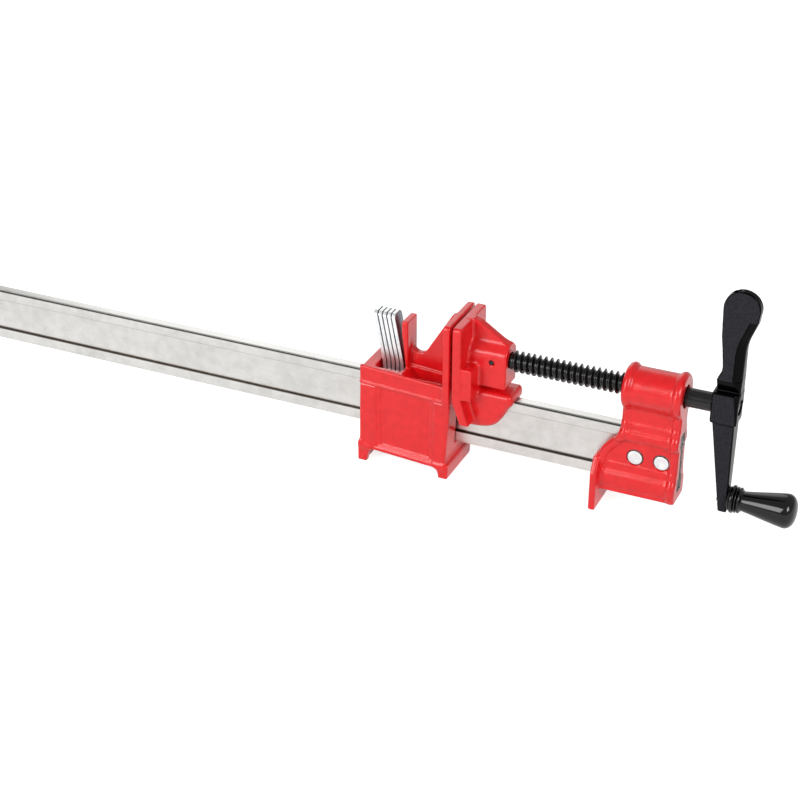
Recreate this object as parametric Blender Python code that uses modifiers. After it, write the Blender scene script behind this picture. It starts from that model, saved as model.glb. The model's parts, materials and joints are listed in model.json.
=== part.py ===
"""An I-beam bar clamp: a steel I-section rail, a head casting riveted to one end with a crank and screw
in it, a jaw that the screw drives along the rail, and a second jaw that slides freely along the rail and
is held by a stack of tilting clutch plates. Metres, +Z up. The rail runs along X with the crank at +X, and
the origin is the middle of the head foot's sole."""

import math

import bmesh
import bpy
from mathutils import Matrix, Vector

# Fits and allowances shared by all the pieces
clearance = 0.0003
overrun = 0.003
lap = 0.0015
turned_steps = 32

# Rail
rail_height = 0.0508
rail_width = 0.0095
rail_length = 0.8265
rail_flange = 0.0105
rail_web = 0.0040
rail_corner = 0.0014
rail_fillet = 0.0016
rail_taper = 0.0004
rail_lift = 0.0266
rail_middle = rail_lift + rail_height / 2
rail_top = rail_lift + rail_height
rail_stop_diameter = 0.0060
rail_stop_length = 0.0170
rail_stop_inset = 0.0090

# Spindle, with its axis above the middle of the rail
spindle_rise = 0.0605
spindle_height = rail_middle + spindle_rise
thread_diameter = 0.0182
thread_pitch = 0.00508
thread_depth = 0.0026
thread_sides = 16
shank_diameter = 0.0156
spigot_diameter = 0.0120
neck_diameter = 0.0126
groove_diameter = 0.0086
groove_width = 0.0058

# Head casting
head_foot_thickness = 0.0058
head_foot_width = 0.0410
head_foot_height = 0.0480
head_foot_shoulder_share = 0.72
head_foot_round = 0.0012
head_barrel_start = 0.0150
head_barrel_length = 0.0520
head_barrel_diameter = 0.0342
head_bead_diameter = 0.0386
head_bead_width = 0.0058
head_bore_gap = 0.0006
head_floor = 0.0066
head_bulge_half = 0.0130
head_web_half = 0.0086
head_neck_half = 0.0096
head_bulge_round = 0.0050
head_crease_drop = 0.0165
head_ridge_rise = 0.0085
head_body_inset = 0.0008
head_rim_height = 0.0026
head_rim_width = 0.0052
head_flare_run = 0.0180
head_end = head_barrel_start + head_barrel_length
head_rivet_diameter = 0.0135
head_rivet_first = 0.0310
head_rivet_spacing = 0.0222
head_rivet_proud = 0.0002

# Jaw driven by the spindle
jaw_width = 0.0560
jaw_height = 0.0681
jaw_face = -0.1230
jaw_plate_thickness = 0.0077
jaw_plate_drop = 0.0204
jaw_chamfer_run = 0.0076
jaw_chamfer_rise = 0.0200
jaw_band_thickness = 0.0092
jaw_band_low = 0.0026
jaw_band_high = 0.0316
jaw_boss_width = 0.0242
jaw_boss_length = 0.0337
jaw_boss_above = 0.0125
jaw_boss_below = 0.0225
jaw_boss_round = 0.0078
jaw_rib_thickness = 0.0070
jaw_rib_shoulder = 0.0072
jaw_rib_shoulder_drop = 0.0022
jaw_rib_foot_rise = 0.0134
jaw_neck_width = 0.0190
jaw_saddle_width = 0.0284
jaw_saddle_length = 0.0478
jaw_saddle_above = 0.0062
jaw_saddle_below = 0.0268
jaw_saddle_round = 0.0040
jaw_slide_gap = 0.0004
jaw_bore_depth = 0.0262
jaw_pin_diameter = 0.0050
jaw_pin_inset = 0.0130
jaw_pin_recess = 0.0006
jaws_gap = 0.0021

# Sliding jaw: a box casting with feet, a jaw plate and a finger horn
box_width = 0.0500
box_length = 0.0830
box_rake_drop = 0.0054
box_top_rise = 0.0152
box_underside = 0.0135
box_lean = 0.0040
box_wall = 0.0042
box_end_wall = 0.0046
box_deck = 0.0060
box_face_inset = 0.0012
box_stile = 0.0172
box_ledge = 0.0055
box_panel_rise = 0.0450
box_slot_gap = 0.0012
box_foot_length = 0.0072
box_foot_reach = 0.0022
box_foot_width = 0.0520
box_foot_rise = 0.0200
box_foot_sweep = 0.0060
box_foot_waist_share = 0.45
box_right_foot_share = 0.56
face_plate_thickness = 0.0064
face_plate_top = 0.0681
face_plate_width = 0.0560
face_plate_bevel = 0.0014
mouth_width = 0.0340
mouth_margin = 0.0026
pocket_margin = 0.0030
pocket_floor = 0.0022
box_fulcrum_place = 0.0353
spine_width = 0.0110
gusset_thickness = 0.0062
spine_foot = 0.0014
horn_width = 0.0200
horn_height = 0.0556
horn_thickness = 0.0058
horn_root = 0.0024
horn_kick_rise = 0.0440
notch_depth_rise = 0.0258
notch_run = 0.0092
notch_radius = 0.0080
gusset_slope = 1.80
gusset_drop = 0.0022

# Clutch plates
plate_count = 5
plate_thickness = 0.0033
plate_pitch = 0.00405
plate_width = 0.0300
plate_tab_width = 0.0145
plate_tab_corner = 0.0026
plate_top = 0.0586
plate_shoulder = 0.0062
plate_foot = 0.0086
plate_bend_rise = 0.0150
plate_lock_angle = math.radians(3.0)
plate_tab_angle = math.radians(10.9)
plate_to_fulcrum = 0.0027

# Clutch spring
spring_diameter = 0.0070
spring_wire = 0.0010
spring_turns = 7
spring_sides = 8
spring_length = 0.0220
spring_rise = 0.0086

# Crank
crank_start = 0.0885
hub_length = 0.0206
hub_height = 0.0272
hub_width = 0.0190
hub_round = 0.0020
paddle_reach = 0.1000
paddle_radius = 0.0146
paddle_offset = 0.0158
paddle_thickness = 0.0070
paddle_root_thickness = 0.0180
paddle_root_rise = 0.0245
paddle_root_width = 0.0170
paddle_root_start = 0.0038
paddle_waist_width = 0.0136
paddle_waist_start = 0.0074
waist_thickness = 0.0120
arm_reach = 0.0955
arm_below_grip = 0.0120
arm_root_width = 0.0178
arm_root_start = 0.0022
arm_tip_width = 0.0072
arm_tip_start = 0.0128
arm_root_thickness = 0.0166
arm_tip_thickness = 0.0092
crank_pin_diameter = 0.0050

# Grip, its axle and its washer
grip_length = 0.0530
grip_diameter = 0.0284
grip_neck_diameter = 0.0172
grip_collar_diameter = 0.0216
grip_collar_width = 0.0030
grip_bore_gap = 0.0004
axle_diameter = 0.0062
axle_head_diameter = 0.0092
axle_head_height = 0.0018
axle_depth = 0.0450
washer_diameter = 0.0206
washer_thickness = 0.0018


def clear_scene():
    for obj in list(bpy.data.objects):
        bpy.data.objects.remove(obj)


def make_collection(name):
    collection = bpy.data.collections.new(name)
    bpy.context.scene.collection.children.link(collection)
    return collection


def make_material(name, colour, roughness, metallic):
    material = bpy.data.materials.new(name)
    material.use_nodes = True
    shader = material.node_tree.nodes["Principled BSDF"]
    shader.inputs["Base Color"].default_value = (*colour, 1.0)
    shader.inputs["Roughness"].default_value = roughness
    shader.inputs["Metallic"].default_value = metallic
    return material


clear_scene()
parts = make_collection("bar_clamp")
cutters = make_collection("bar_clamp_cutters")


def new_object(name, data, place=(0, 0, 0)):
    obj = bpy.data.objects.new(name, data)
    obj.location = place
    cutters.objects.link(obj)
    obj.hide_render = True
    obj.display_type = "WIRE"
    return obj


def finish(obj, material):
    """Moves a helper shape to the parts' collection, so that it becomes a piece of the clamp."""
    cutters.objects.unlink(obj)
    parts.objects.link(obj)
    obj.hide_render = False
    obj.display_type = "TEXTURED"
    obj.data.materials.clear()
    obj.data.materials.append(material)
    obj.data.shade_smooth()
    obj.data.set_sharp_from_angle(angle=math.radians(32))
    return obj


def join(target, *others):
    for other in others:
        modifier = target.modifiers.new("join_" + other.name, "BOOLEAN")
        modifier.operation = "UNION"
        modifier.object = other
    return target


def cut(target, *others):
    for other in others:
        modifier = target.modifiers.new("cut_" + other.name, "BOOLEAN")
        modifier.operation = "DIFFERENCE"
        modifier.object = other
    return target


def keep_inside(target, other):
    modifier = target.modifiers.new("within_" + other.name, "BOOLEAN")
    modifier.operation = "INTERSECT"
    modifier.object = other
    return target


def box(name, low, high):
    """A box between two corners, with its origin at its middle."""
    low, high = Vector(low), Vector(high)
    mesh = bpy.data.meshes.new(name)
    shape = bmesh.new()
    bmesh.ops.create_cube(shape, size=1.0, matrix=Matrix.Diagonal((*(high - low), 1.0)))
    shape.to_mesh(mesh)
    shape.free()
    return new_object(name, mesh, (low + high) / 2)


def cylinder(name, diameter, start, end, segments=turned_steps):
    """A cylinder from one point of its axis to another."""
    start, end = Vector(start), Vector(end)
    along = end - start
    mesh = bpy.data.meshes.new(name)
    shape = bmesh.new()
    turn = along.to_track_quat("Z", "Y").to_matrix().to_4x4()
    bmesh.ops.create_cone(
        shape, cap_ends=True, segments=segments, radius1=diameter / 2, radius2=diameter / 2,
        depth=along.length, matrix=turn,
    )
    shape.to_mesh(mesh)
    shape.free()
    return new_object(name, mesh, (start + end) / 2)


def mesh_from_curve(curve_object):
    """The curve's evaluated shape as a mesh object with its caps welded, in the curve's place."""
    bpy.context.view_layer.update()
    graph = bpy.context.evaluated_depsgraph_get()
    mesh = bpy.data.meshes.new_from_object(curve_object.evaluated_get(graph))
    shape = bmesh.new()
    shape.from_mesh(mesh)
    bmesh.ops.remove_doubles(shape, verts=shape.verts, dist=clearance / 100)
    bmesh.ops.recalc_face_normals(shape, faces=shape.faces)
    shape.to_mesh(mesh)
    shape.free()
    name, matrix = curve_object.name, curve_object.matrix_world.copy()
    bpy.data.objects.remove(curve_object)
    obj = new_object(name, mesh)
    obj.matrix_world = matrix
    return obj


def outline(name, splines, across, thickness, place=(0, 0, 0)):
    """A flat outline with thickness, centred on its plane. Across is the axis that the thickness runs
    along: "Y" takes points as (x, z), and "X" takes them as (y, z)."""
    curve = bpy.data.curves.new(name, "CURVE")
    curve.dimensions = "2D"
    curve.fill_mode = "BOTH"
    curve.extrude = thickness / 2
    for points in splines:
        spline = curve.splines.new("POLY")
        spline.points.add(len(points) - 1)
        for point, (across_page, up_page) in zip(spline.points, points):
            point.co = (across_page, up_page, 0, 1)
        spline.use_cyclic_u = True
    obj = new_object(name, curve, place)
    upright = Matrix.Rotation(math.radians(90), 4, "X")
    turn = {"Y": upright, "X": Matrix.Rotation(math.radians(90), 4, "Z") @ upright}[across]
    obj.matrix_world = Matrix.Translation(place) @ turn
    return mesh_from_curve(obj)


def turned(name, profile, place, steps=turned_steps):
    """A turned shape on an axis along X. The profile's points are (x, radius), from left to right."""
    mesh = bpy.data.meshes.new(name)
    points = [(radius, 0, x) for x, radius in reversed(profile)]
    mesh.from_pydata(points, [(i, i + 1) for i in range(len(points) - 1)], [])
    obj = new_object(name, mesh, place)
    obj.rotation_euler = (0, math.radians(90), 0)
    screw = obj.modifiers.new("turn", "SCREW")
    screw.steps = steps
    screw.render_steps = steps
    screw.use_merge_vertices = True
    screw.merge_threshold = clearance / 100
    return obj


def arc(centre, radius, start, end, count):
    """Points on an arc, in degrees counted from the page's first axis towards its second."""
    turns = [math.radians(start + (end - start) * i / count) for i in range(count + 1)]
    return [(centre[0] + radius * math.cos(t), centre[1] + radius * math.sin(t)) for t in turns]


def mirrored(right_side):
    """A closed outline from its right side, which runs from bottom to top."""
    return right_side + [(-y, z) for y, z in reversed(right_side)]


def rail_outline(gap, fillet_steps=2):
    """The rail's I section as (y, z) about the rail's middle, grown by a gap all round."""
    half_width, half_height, half_web = rail_width / 2 + gap, rail_height / 2 + gap, rail_web / 2 + gap
    inner = half_height - rail_flange - 2 * gap
    corner = rail_corner
    quarter = arc((half_width - corner, -half_height + corner), corner, -90, 0, fillet_steps)
    quarter += [(half_width, -inner - corner / 2), (half_width - corner / 2, -inner - rail_taper)]
    quarter += arc(
        (half_web + rail_fillet, -inner + rail_fillet), rail_fillet, 270, 180, fillet_steps
    )
    right = quarter + [(y, -z) for y, z in reversed(quarter)]
    return mirrored(right)


def make_rail(material):
    right_end = head_end - head_body_inset
    middle = Vector((right_end - rail_length / 2, 0, rail_middle))
    rail = outline("rail", [rail_outline(0)], "X", rail_length, middle)
    holes = [
        cylinder(
            f"rail_rivet_hole_{i}", head_rivet_diameter + 2 * clearance,
            (x, -rail_width, rail_middle), (x, rail_width, rail_middle), 24,
        )
        for i, x in enumerate(rivet_places())
    ]
    stop_hole = cylinder(
        "rail_stop_hole", rail_stop_diameter + 2 * clearance,
        (rail_stop_place(), -rail_width, rail_middle), (rail_stop_place(), rail_width, rail_middle), 16,
    )
    return finish(cut(rail, *holes, stop_hole), material)


def rivet_places():
    return head_rivet_first, head_rivet_first + head_rivet_spacing


def rail_stop_place():
    return head_end - head_body_inset - rail_length + rail_stop_inset


def make_rail_stop(material):
    half, edge = rail_stop_length / 2, rail_corner / 2
    profile = [
        (-half, 0), (-half, rail_stop_diameter / 2 - edge), (-half + edge, rail_stop_diameter / 2),
        (half - edge, rail_stop_diameter / 2), (half, rail_stop_diameter / 2 - edge), (half, 0),
    ]
    stop = turned("rail_end_stop", profile, (rail_stop_place(), 0, rail_middle), 16)
    stop.rotation_euler = (math.radians(90), 0, 0)
    return finish(stop, material)


def make_rivets(material):
    half = head_web_half + head_rivet_proud
    edge = head_rivet_proud
    radius = head_rivet_diameter / 2
    for side, x in zip(("left", "right"), rivet_places()):
        profile = [(-half, 0), (-half, radius - edge), (-half + edge, radius)]
        profile += [(half - edge, radius), (half, radius - edge), (half, 0)]
        rivet = turned(f"head_rivet_{side}", profile, (x, 0, rail_middle), 24)
        rivet.rotation_euler = (math.radians(90), 0, 0)
        finish(rivet, material)


def head_section(grow):
    """The casting's section round the rail as (y, z): a bulge over each flange, a flat web between, and
    a crease under the barrel."""
    low = rail_lift - head_floor - grow
    bulge, web, neck = head_bulge_half + grow, head_web_half + grow, head_neck_half + grow
    ridge, upper_flange = rail_lift + rail_flange + head_ridge_rise, rail_top - rail_flange
    crease = spindle_height - head_crease_drop
    right = arc((bulge - head_bulge_round, low + head_bulge_round), head_bulge_round, -90, 0, 4)
    lower_shares = ((1.0, 0.50), (0.86, 0.74), (0.40, 0.93), (0.0, 1.0))
    right += [(web + (bulge - web) * out_share, low + (ridge - low) * up_share)
              for out_share, up_share in lower_shares]
    upper_shares = ((0.0, -0.10), (0.50, 0.04), (0.92, 0.20), (1.0, 0.36), (1.0, 0.54), (0.90, 0.70),
                    (0.60, 0.84), (0.16, 0.96))
    right += [(web + (bulge - web) * out_share, upper_flange + (crease - upper_flange) * up_share)
              for out_share, up_share in upper_shares]
    right += [(neck, crease), (neck, spindle_height)]
    return mirrored(right)


def head_flare():
    """The casting's left edge as (x, z), from the barrel down to the foot."""
    left = -head_foot_thickness / 2
    waist = left + head_flare_run + head_foot_thickness / 2
    bottom, top = rail_lift - head_floor - head_rim_height, spindle_height
    flare_shares = ((1.0, 1.0), (1.0, 0.82), (0.95, 0.70), (0.80, 0.60), (0.55, 0.53), (0.30, 0.45),
                    (0.13, 0.36), (0.04, 0.25), (0.0, 0.14), (0.0, 0.0))
    return [(left + (waist - left) * across_share, bottom + (top - bottom) * up_share)
            for across_share, up_share in flare_shares]


def head_side():
    """The casting's side view under the barrel as (x, z)."""
    right, edge = head_end - head_body_inset, head_flare()
    return [(right, edge[-1][1]), (right, edge[0][1])] + edge


def head_left_rim():
    """A band of even width along the casting's left edge, as (x, z)."""
    edge = head_flare()
    return edge + [(x + head_rim_width, z) for x, z in reversed(edge)]


def make_head(material):
    radius, bead = head_barrel_diameter / 2, head_bead_diameter / 2
    end, width, edge = head_barrel_length, head_bead_width, (head_bead_diameter - head_barrel_diameter) / 2
    barrel_profile = [
        (0, 0), (0, bead - edge), (edge / 2, bead - edge / 4), (width / 2, bead),
        (width - edge / 2, bead - edge / 2), (width, radius), (end - width, radius),
        (end - width + edge / 2, bead - edge / 2), (end - width / 2, bead),
        (end - edge / 2, bead - edge / 4), (end, bead - edge), (end, 0),
    ]
    head = turned("head_casting", barrel_profile, (head_barrel_start, 0, spindle_height))

    reach = head_end + head_foot_thickness
    middle = (reach / 2 - head_foot_thickness, 0, 0)
    body = outline("head_body", [head_section(0)], "X", reach, middle)
    keep_inside(body, outline("head_side_view", [head_side()], "Y", head_foot_width))

    left_rim = outline("head_left_rim", [head_section(head_rim_height)], "X", reach, middle)
    keep_inside(left_rim, outline("head_left_edge", [head_left_rim()], "Y", head_foot_width))
    rim_end = head_end - head_body_inset / 2
    rim = outline("head_rim", [head_section(head_rim_height)], "X", head_rim_width,
                  (rim_end - head_rim_width / 2, 0, 0))

    half = head_foot_width / 2
    foot_side = [
        (half - head_foot_round, 0), (half, head_foot_round), (half, head_foot_height * head_foot_shoulder_share),
        (head_bulge_half, head_foot_height),
    ]
    foot = outline("head_foot", [mirrored(foot_side)], "X", head_foot_thickness)

    bore_diameter = thread_diameter + 2 * head_bore_gap
    bore = cylinder("head_bore", bore_diameter, (-overrun, 0, spindle_height),
                    (head_end + overrun, 0, spindle_height))
    slot = outline("head_rail_slot", [rail_outline(clearance)], "X", 2 * reach, (0, 0, rail_middle))
    holes = [
        cylinder(f"head_rivet_hole_{i}", head_rivet_diameter + 2 * clearance,
                 (x, -head_foot_width / 2, rail_middle), (x, head_foot_width / 2, rail_middle), 24)
        for i, x in enumerate(rivet_places())
    ]
    join(head, body, left_rim, rim, foot)
    return finish(cut(head, bore, slot, *holes), material)


def jaw_back():
    """X of the jaw plate's back face."""
    return jaw_face + jaw_plate_thickness


def boss_start():
    return jaw_back() + jaw_band_thickness - lap


def boss_end():
    return boss_start() + lap + jaw_boss_length - jaw_band_thickness


def saddle_end():
    return jaw_face + jaw_saddle_length


def jaw_pin_place():
    return boss_end() - jaw_pin_inset


def jaw_plate_side():
    """Side view of the jaw plate as (x, z), chamfered below where it leaves the sliding jaw."""
    top, foot = rail_top + jaw_height, rail_top - jaw_plate_drop
    return [
        (jaw_face, rail_top), (jaw_face + jaw_chamfer_run, foot), (jaw_back() + jaw_chamfer_run - lap, foot),
        (jaw_back(), rail_top + jaw_band_low), (jaw_back(), top - lap / 2), (jaw_back() - lap, top), (jaw_face + lap / 2, top),
        (jaw_face, top - lap / 2),
    ]


def jaw_rib_side():
    """Side view of the rib from the top of the plate down to the end of the boss, as (x, z)."""
    top = rail_top + jaw_height - lap / 2
    shoulder = (jaw_back() + jaw_rib_shoulder, top - jaw_rib_shoulder_drop)
    foot = (boss_end() - lap / 2, spindle_height + jaw_rib_foot_rise)
    return [
        (jaw_back() - lap, spindle_height), (boss_end() - lap / 2, spindle_height + thread_diameter / 2),
        foot, shoulder, (jaw_back(), top), (jaw_back() - lap, top),
    ]


def jaw_saddle_side():
    """Side view of the saddle on the rail as (x, z), with its swept underside."""
    start, end = jaw_face + jaw_chamfer_run, saddle_end()
    low, high = rail_top - jaw_saddle_below, rail_top + jaw_saddle_above
    sweep_shares = ((0.09, 0.0), (0.45, 0.05), (0.72, 0.30), (0.94, 0.66), (1.0, 0.90))
    sweep = [(start + (end - start) * x_share, low + (high - low) * z_share)
             for x_share, z_share in sweep_shares]
    return [(start, low + jaw_saddle_round), *sweep, (end, high), (start, high)]


def boss_section():
    """End view of the boss as (y, z), round at the top."""
    half, top = jaw_boss_width / 2, spindle_height + jaw_boss_above
    corner = (half - jaw_boss_round, top - jaw_boss_round)
    right = [(half - lap, spindle_height - jaw_boss_below), (half, spindle_height - jaw_boss_below + lap)]
    right += arc(corner, jaw_boss_round, 0, 90, 4)
    return mirrored(right)


def make_spindle_jaw(material):
    jaw = outline("spindle_jaw", [jaw_plate_side()], "Y", jaw_width)
    band = box("jaw_band", (jaw_back() - lap, -jaw_width / 2 + lap, rail_top + jaw_band_low),
               (jaw_back() + jaw_band_thickness, jaw_width / 2 - lap, rail_top + jaw_band_high))
    length = boss_end() - jaw_back() + lap
    boss = outline("jaw_boss", [boss_section()], "X", length, (boss_end() - length / 2, 0, 0))
    rib = outline("jaw_rib", [jaw_rib_side()], "Y", jaw_rib_thickness)
    saddle = outline("jaw_saddle", [jaw_saddle_side()], "Y", jaw_saddle_width)
    neck = box("jaw_neck", (jaw_back() - lap, -jaw_neck_width / 2, rail_top + jaw_saddle_above - lap),
               (boss_end() - lap, jaw_neck_width / 2, spindle_height - jaw_boss_below + lap))

    slot = outline("jaw_slot", [rail_outline(jaw_slide_gap)], "X", 4 * jaw_saddle_length,
                   (saddle_end(), 0, rail_middle))
    bore_end = boss_end() - jaw_bore_depth
    bore = cylinder("jaw_bore", neck_diameter + 2 * clearance, (bore_end, 0, spindle_height),
                    (boss_end() + overrun, 0, spindle_height), 24)
    pin_hole = cylinder("jaw_pin_hole", jaw_pin_diameter + 2 * clearance,
                        (jaw_pin_place(), -jaw_width, spindle_height),
                        (jaw_pin_place(), jaw_width, spindle_height), 16)
    join(jaw, band, boss, rib, saddle, neck)
    return finish(cut(jaw, slot, bore, pin_hole), material)


def make_jaw_pins(material):
    """Two short pins, one from each side, that ride in the spindle's groove."""
    inner = groove_diameter / 2 + clearance
    outer = jaw_boss_width / 2 - jaw_pin_recess
    for side, sign in (("front", -1), ("back", 1)):
        pin = cylinder(f"jaw_pin_{side}", jaw_pin_diameter, (jaw_pin_place(), sign * inner, spindle_height),
                       (jaw_pin_place(), sign * outer, spindle_height), 16)
        finish(pin, material)


def thread_body(start, end):
    """One solid helical ridge on a core, right-handed, with plain ends. Each turn has the corners of a
    trapezoidal thread, and the grid is skewed so that they follow the helix."""
    crest, root = thread_diameter / 2, thread_diameter / 2 - thread_depth
    corner_shares = ((0.0, root), (0.30, root), (0.47, crest), (0.83, crest))
    turns = round((end - start) / thread_pitch)
    rows = turns * len(corner_shares)
    points, faces = [], []
    for row in range(rows + 1):
        turn, corner = divmod(row, len(corner_shares))
        along_share, radius = corner_shares[corner]
        for side in range(thread_sides):
            angle = 2 * math.pi * side / thread_sides
            x = (turn + along_share + side / thread_sides) * thread_pitch
            points.append((x, radius * math.sin(-angle), radius * math.cos(angle)))
    for row in range(rows):
        for side in range(thread_sides):
            here = row * thread_sides + side
            if side < thread_sides - 1:
                faces.append((here, here + 1, here + 1 + thread_sides, here + thread_sides))
            elif row + 1 + len(corner_shares) <= rows:
                ahead = (row + len(corner_shares)) * thread_sides
                faces.append((here, ahead, ahead + thread_sides, here + thread_sides))
    close_thread_end(points, faces, 0, rows, len(corner_shares), thread_pitch / 2)
    close_thread_end(points, faces, rows - len(corner_shares), rows, len(corner_shares),
                     (turns + 1 / 2) * thread_pitch)
    mesh = bpy.data.meshes.new("thread")
    mesh.from_pydata(points, [], faces)
    shape = bmesh.new()
    shape.from_mesh(mesh)
    bmesh.ops.recalc_face_normals(shape, faces=shape.faces)
    shape.to_mesh(mesh)
    shape.free()
    return new_object("thread", mesh, (start, 0, spindle_height))


def close_thread_end(points, faces, row, rows, corners, x_middle):
    """A fan from the axis to the open edge at one end of the thread's grid: once round the helix, then
    back along the one line where the grid's ends don't meet."""
    last_side = thread_sides - 1
    if row == 0:
        edge = [side for side in range(thread_sides)]
        edge += [step * thread_sides for step in range(corners, 0, -1)]
    else:
        edge = [rows * thread_sides + side for side in range(thread_sides)]
        edge += [(rows - step) * thread_sides + last_side for step in range(1, corners)]
        edge += [(rows - corners) * thread_sides + last_side]
        edge += [rows * thread_sides]
        edge = edge[:-1]
    points.append((x_middle, 0, 0))
    hub = len(points) - 1
    for first, second in zip(edge, edge[1:] + edge[:1]):
        faces.append((hub, first, second))


def make_spindle(material):
    thread_start, thread_end = boss_end() + clearance, head_end - head_bead_width
    raw = thread_body(thread_start - 2 * thread_pitch, thread_end + 2 * thread_pitch)
    keep_inside(raw, cylinder("thread_length", 2 * thread_diameter,
                              (thread_start, 0, spindle_height), (thread_end, 0, spindle_height)))
    neck, groove, shank = neck_diameter / 2, groove_diameter / 2, shank_diameter / 2
    tip = boss_end() - jaw_bore_depth + clearance
    groove_start, groove_end = jaw_pin_place() - groove_width / 2, jaw_pin_place() + groove_width / 2
    hub_start, spigot_end = crank_start - clearance, crank_start + hub_length
    stops = [
        (tip, 0), (tip, neck - lap), (tip + lap, neck), (groove_start, neck), (groove_start, groove),
        (groove_end, groove), (groove_end, neck), (thread_start + lap, neck), (thread_start + lap, 0),
    ]
    tail = [
        (thread_end - lap, 0), (thread_end - lap, shank), (hub_start, shank),
        (hub_start, spigot_diameter / 2), (spigot_end - lap / 2, spigot_diameter / 2),
        (spigot_end, spigot_diameter / 2 - lap / 2), (spigot_end, 0),
    ]
    spindle = turned("spindle", stops, (0, 0, spindle_height), 24)
    shank_body = turned("spindle_shank", tail, (0, 0, spindle_height), 24)
    join(spindle, raw, shank_body)
    middle = crank_start + hub_length / 2
    pin_hole = cylinder("spindle_pin_hole", crank_pin_diameter + 2 * clearance,
                        (middle, 0, spindle_height - thread_diameter),
                        (middle, 0, spindle_height + thread_diameter), 16)
    return finish(cut(spindle, pin_hole), material)


def paddle_outline():
    """The finger paddle as (x, z): a round pad on a waisted stem, in the plane of the spindle."""
    pad = (crank_start + paddle_offset, spindle_height + paddle_reach - paddle_radius)
    root = spindle_height + paddle_root_rise
    left, right = crank_start + paddle_root_start, crank_start + paddle_root_start + paddle_root_width
    stem_left = crank_start + paddle_waist_start
    stem_right = stem_left + paddle_waist_width
    rise = pad[1] - root
    stem = [(stem_left, root + rise * up_share) for up_share in (0.17, 0.30)]
    swell_shares = ((0.0, 0.45), (0.10, 0.53), (0.34, 0.61), (0.68, 0.72), (0.91, 0.826))
    swell = [(stem_right + (pad[0] + paddle_radius - stem_right) * x_share, root + rise * z_share)
             for x_share, z_share in swell_shares]
    return [(left, root), (right, root), *swell, *arc(pad, paddle_radius, -14, 184, 12), *stem[::-1]]


def tapered(name, section_low, section_high, low, high):
    """A block that tapers from one section to another. Each section is (x low, x high, half width)."""
    mesh = bpy.data.meshes.new(name)
    shape = bmesh.new()
    bmesh.ops.create_cube(shape, size=1.0)
    for corner in shape.verts:
        upper = corner.co.z > 0
        x_low, x_high, half = section_high if upper else section_low
        x = x_high if corner.co.x > 0 else x_low
        y = half if corner.co.y > 0 else -half
        corner.co = (x, y, high if upper else low)
    shape.to_mesh(mesh)
    shape.free()
    return new_object(name, mesh)


def soften(obj, width, segments=2):
    bevel = obj.modifiers.new("soften", "BEVEL")
    bevel.width = width
    bevel.segments = segments
    bevel.limit_method = "ANGLE"
    bevel.angle_limit = math.radians(40)
    return obj


def make_crank(material):
    hub_low, hub_high = spindle_height - hub_height / 2, spindle_height + hub_height / 2
    crank_end = crank_start + hub_length
    crank = box("crank", (crank_start, -hub_width / 2, hub_low), (crank_end, hub_width / 2, hub_high))
    soften(crank, hub_round)
    paddle_root = spindle_height + paddle_root_rise
    top = spindle_height + paddle_reach
    paddle = outline("crank_paddle", [paddle_outline()], "Y", paddle_root_thickness)
    wedge = tapered(
        "paddle_taper",
        (crank_start - overrun, crank_end + 2 * paddle_radius, paddle_root_thickness / 2),
        (crank_start - overrun, crank_end + 2 * paddle_radius, paddle_thickness / 2),
        paddle_root - overrun, top + overrun,
    )
    keep_inside(paddle, wedge)
    waist = box("crank_waist",
                (crank_start + paddle_root_start - lap / 2, -waist_thickness / 2, hub_high - 2 * hub_round),
                (crank_start + paddle_root_start + paddle_root_width - lap / 2,
                 (paddle_root_thickness - lap) / 2, paddle_root + lap))
    root_left, tip_left = crank_start + arm_root_start, crank_start + arm_tip_start
    arm = tapered(
        "crank_arm",
        (tip_left, tip_left + arm_tip_width, arm_tip_thickness / 2),
        (root_left, root_left + arm_root_width, arm_root_thickness / 2),
        spindle_height - arm_reach, hub_low + 2 * hub_round,
    )
    soften(arm, hub_round)
    join(crank, paddle, waist, arm)
    bore = cylinder("crank_bore", spigot_diameter + 2 * clearance,
                    (crank_start - overrun, 0, spindle_height), (crank_end + overrun, 0, spindle_height), 24)
    middle = crank_start + hub_length / 2
    pin_hole = cylinder("crank_pin_hole", crank_pin_diameter + 2 * clearance,
                        (middle, 0, hub_low + hub_round), (middle, 0, hub_high + overrun), 16)
    axle_hole = cylinder("crank_axle_hole", axle_diameter + 2 * clearance,
                         (axle_seat() - overrun, 0, grip_height()),
                         (grip_seat() + overrun, 0, grip_height()), 20)
    seats = [
        cylinder("crank_axle_seat", axle_head_diameter + 4 * clearance,
                 (axle_seat(), 0, grip_height()), (axle_seat() - axle_head_height - overrun, 0, grip_height()), 20),
        cylinder("crank_grip_seat", washer_diameter + 4 * clearance,
                 (grip_seat(), 0, grip_height()), (grip_seat() + overrun, 0, grip_height()), 24),
    ]
    return finish(cut(crank, bore, pin_hole, axle_hole, *seats), material)


def make_crank_pin(material):
    middle = crank_start + hub_length / 2
    low, high = spindle_height - spigot_diameter / 2 - lap, spindle_height + hub_height / 2 - lap / 2
    return finish(cylinder("crank_pin", crank_pin_diameter, (middle, 0, low), (middle, 0, high), 16), material)


def grip_height():
    return spindle_height - arm_reach + arm_below_grip


def arm_sides(height):
    """X of the slanting arm's two side faces at a height."""
    low, high = spindle_height - arm_reach, spindle_height - hub_height / 2 + 2 * hub_round
    up_share = (height - low) / (high - low)
    left = crank_start + arm_tip_start + (arm_root_start - arm_tip_start) * up_share
    width = arm_tip_width + (arm_root_width - arm_tip_width) * up_share
    return left, left + width


def axle_seat():
    """X of the bottom of the recess that holds the axle's head."""
    return arm_sides(grip_height())[0] + axle_head_height


def grip_seat():
    """X of the spot face under the grip's washer."""
    return arm_sides(grip_height() + washer_diameter / 4)[1]


def grip_start():
    return grip_seat() + washer_thickness + 2 * clearance


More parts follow.
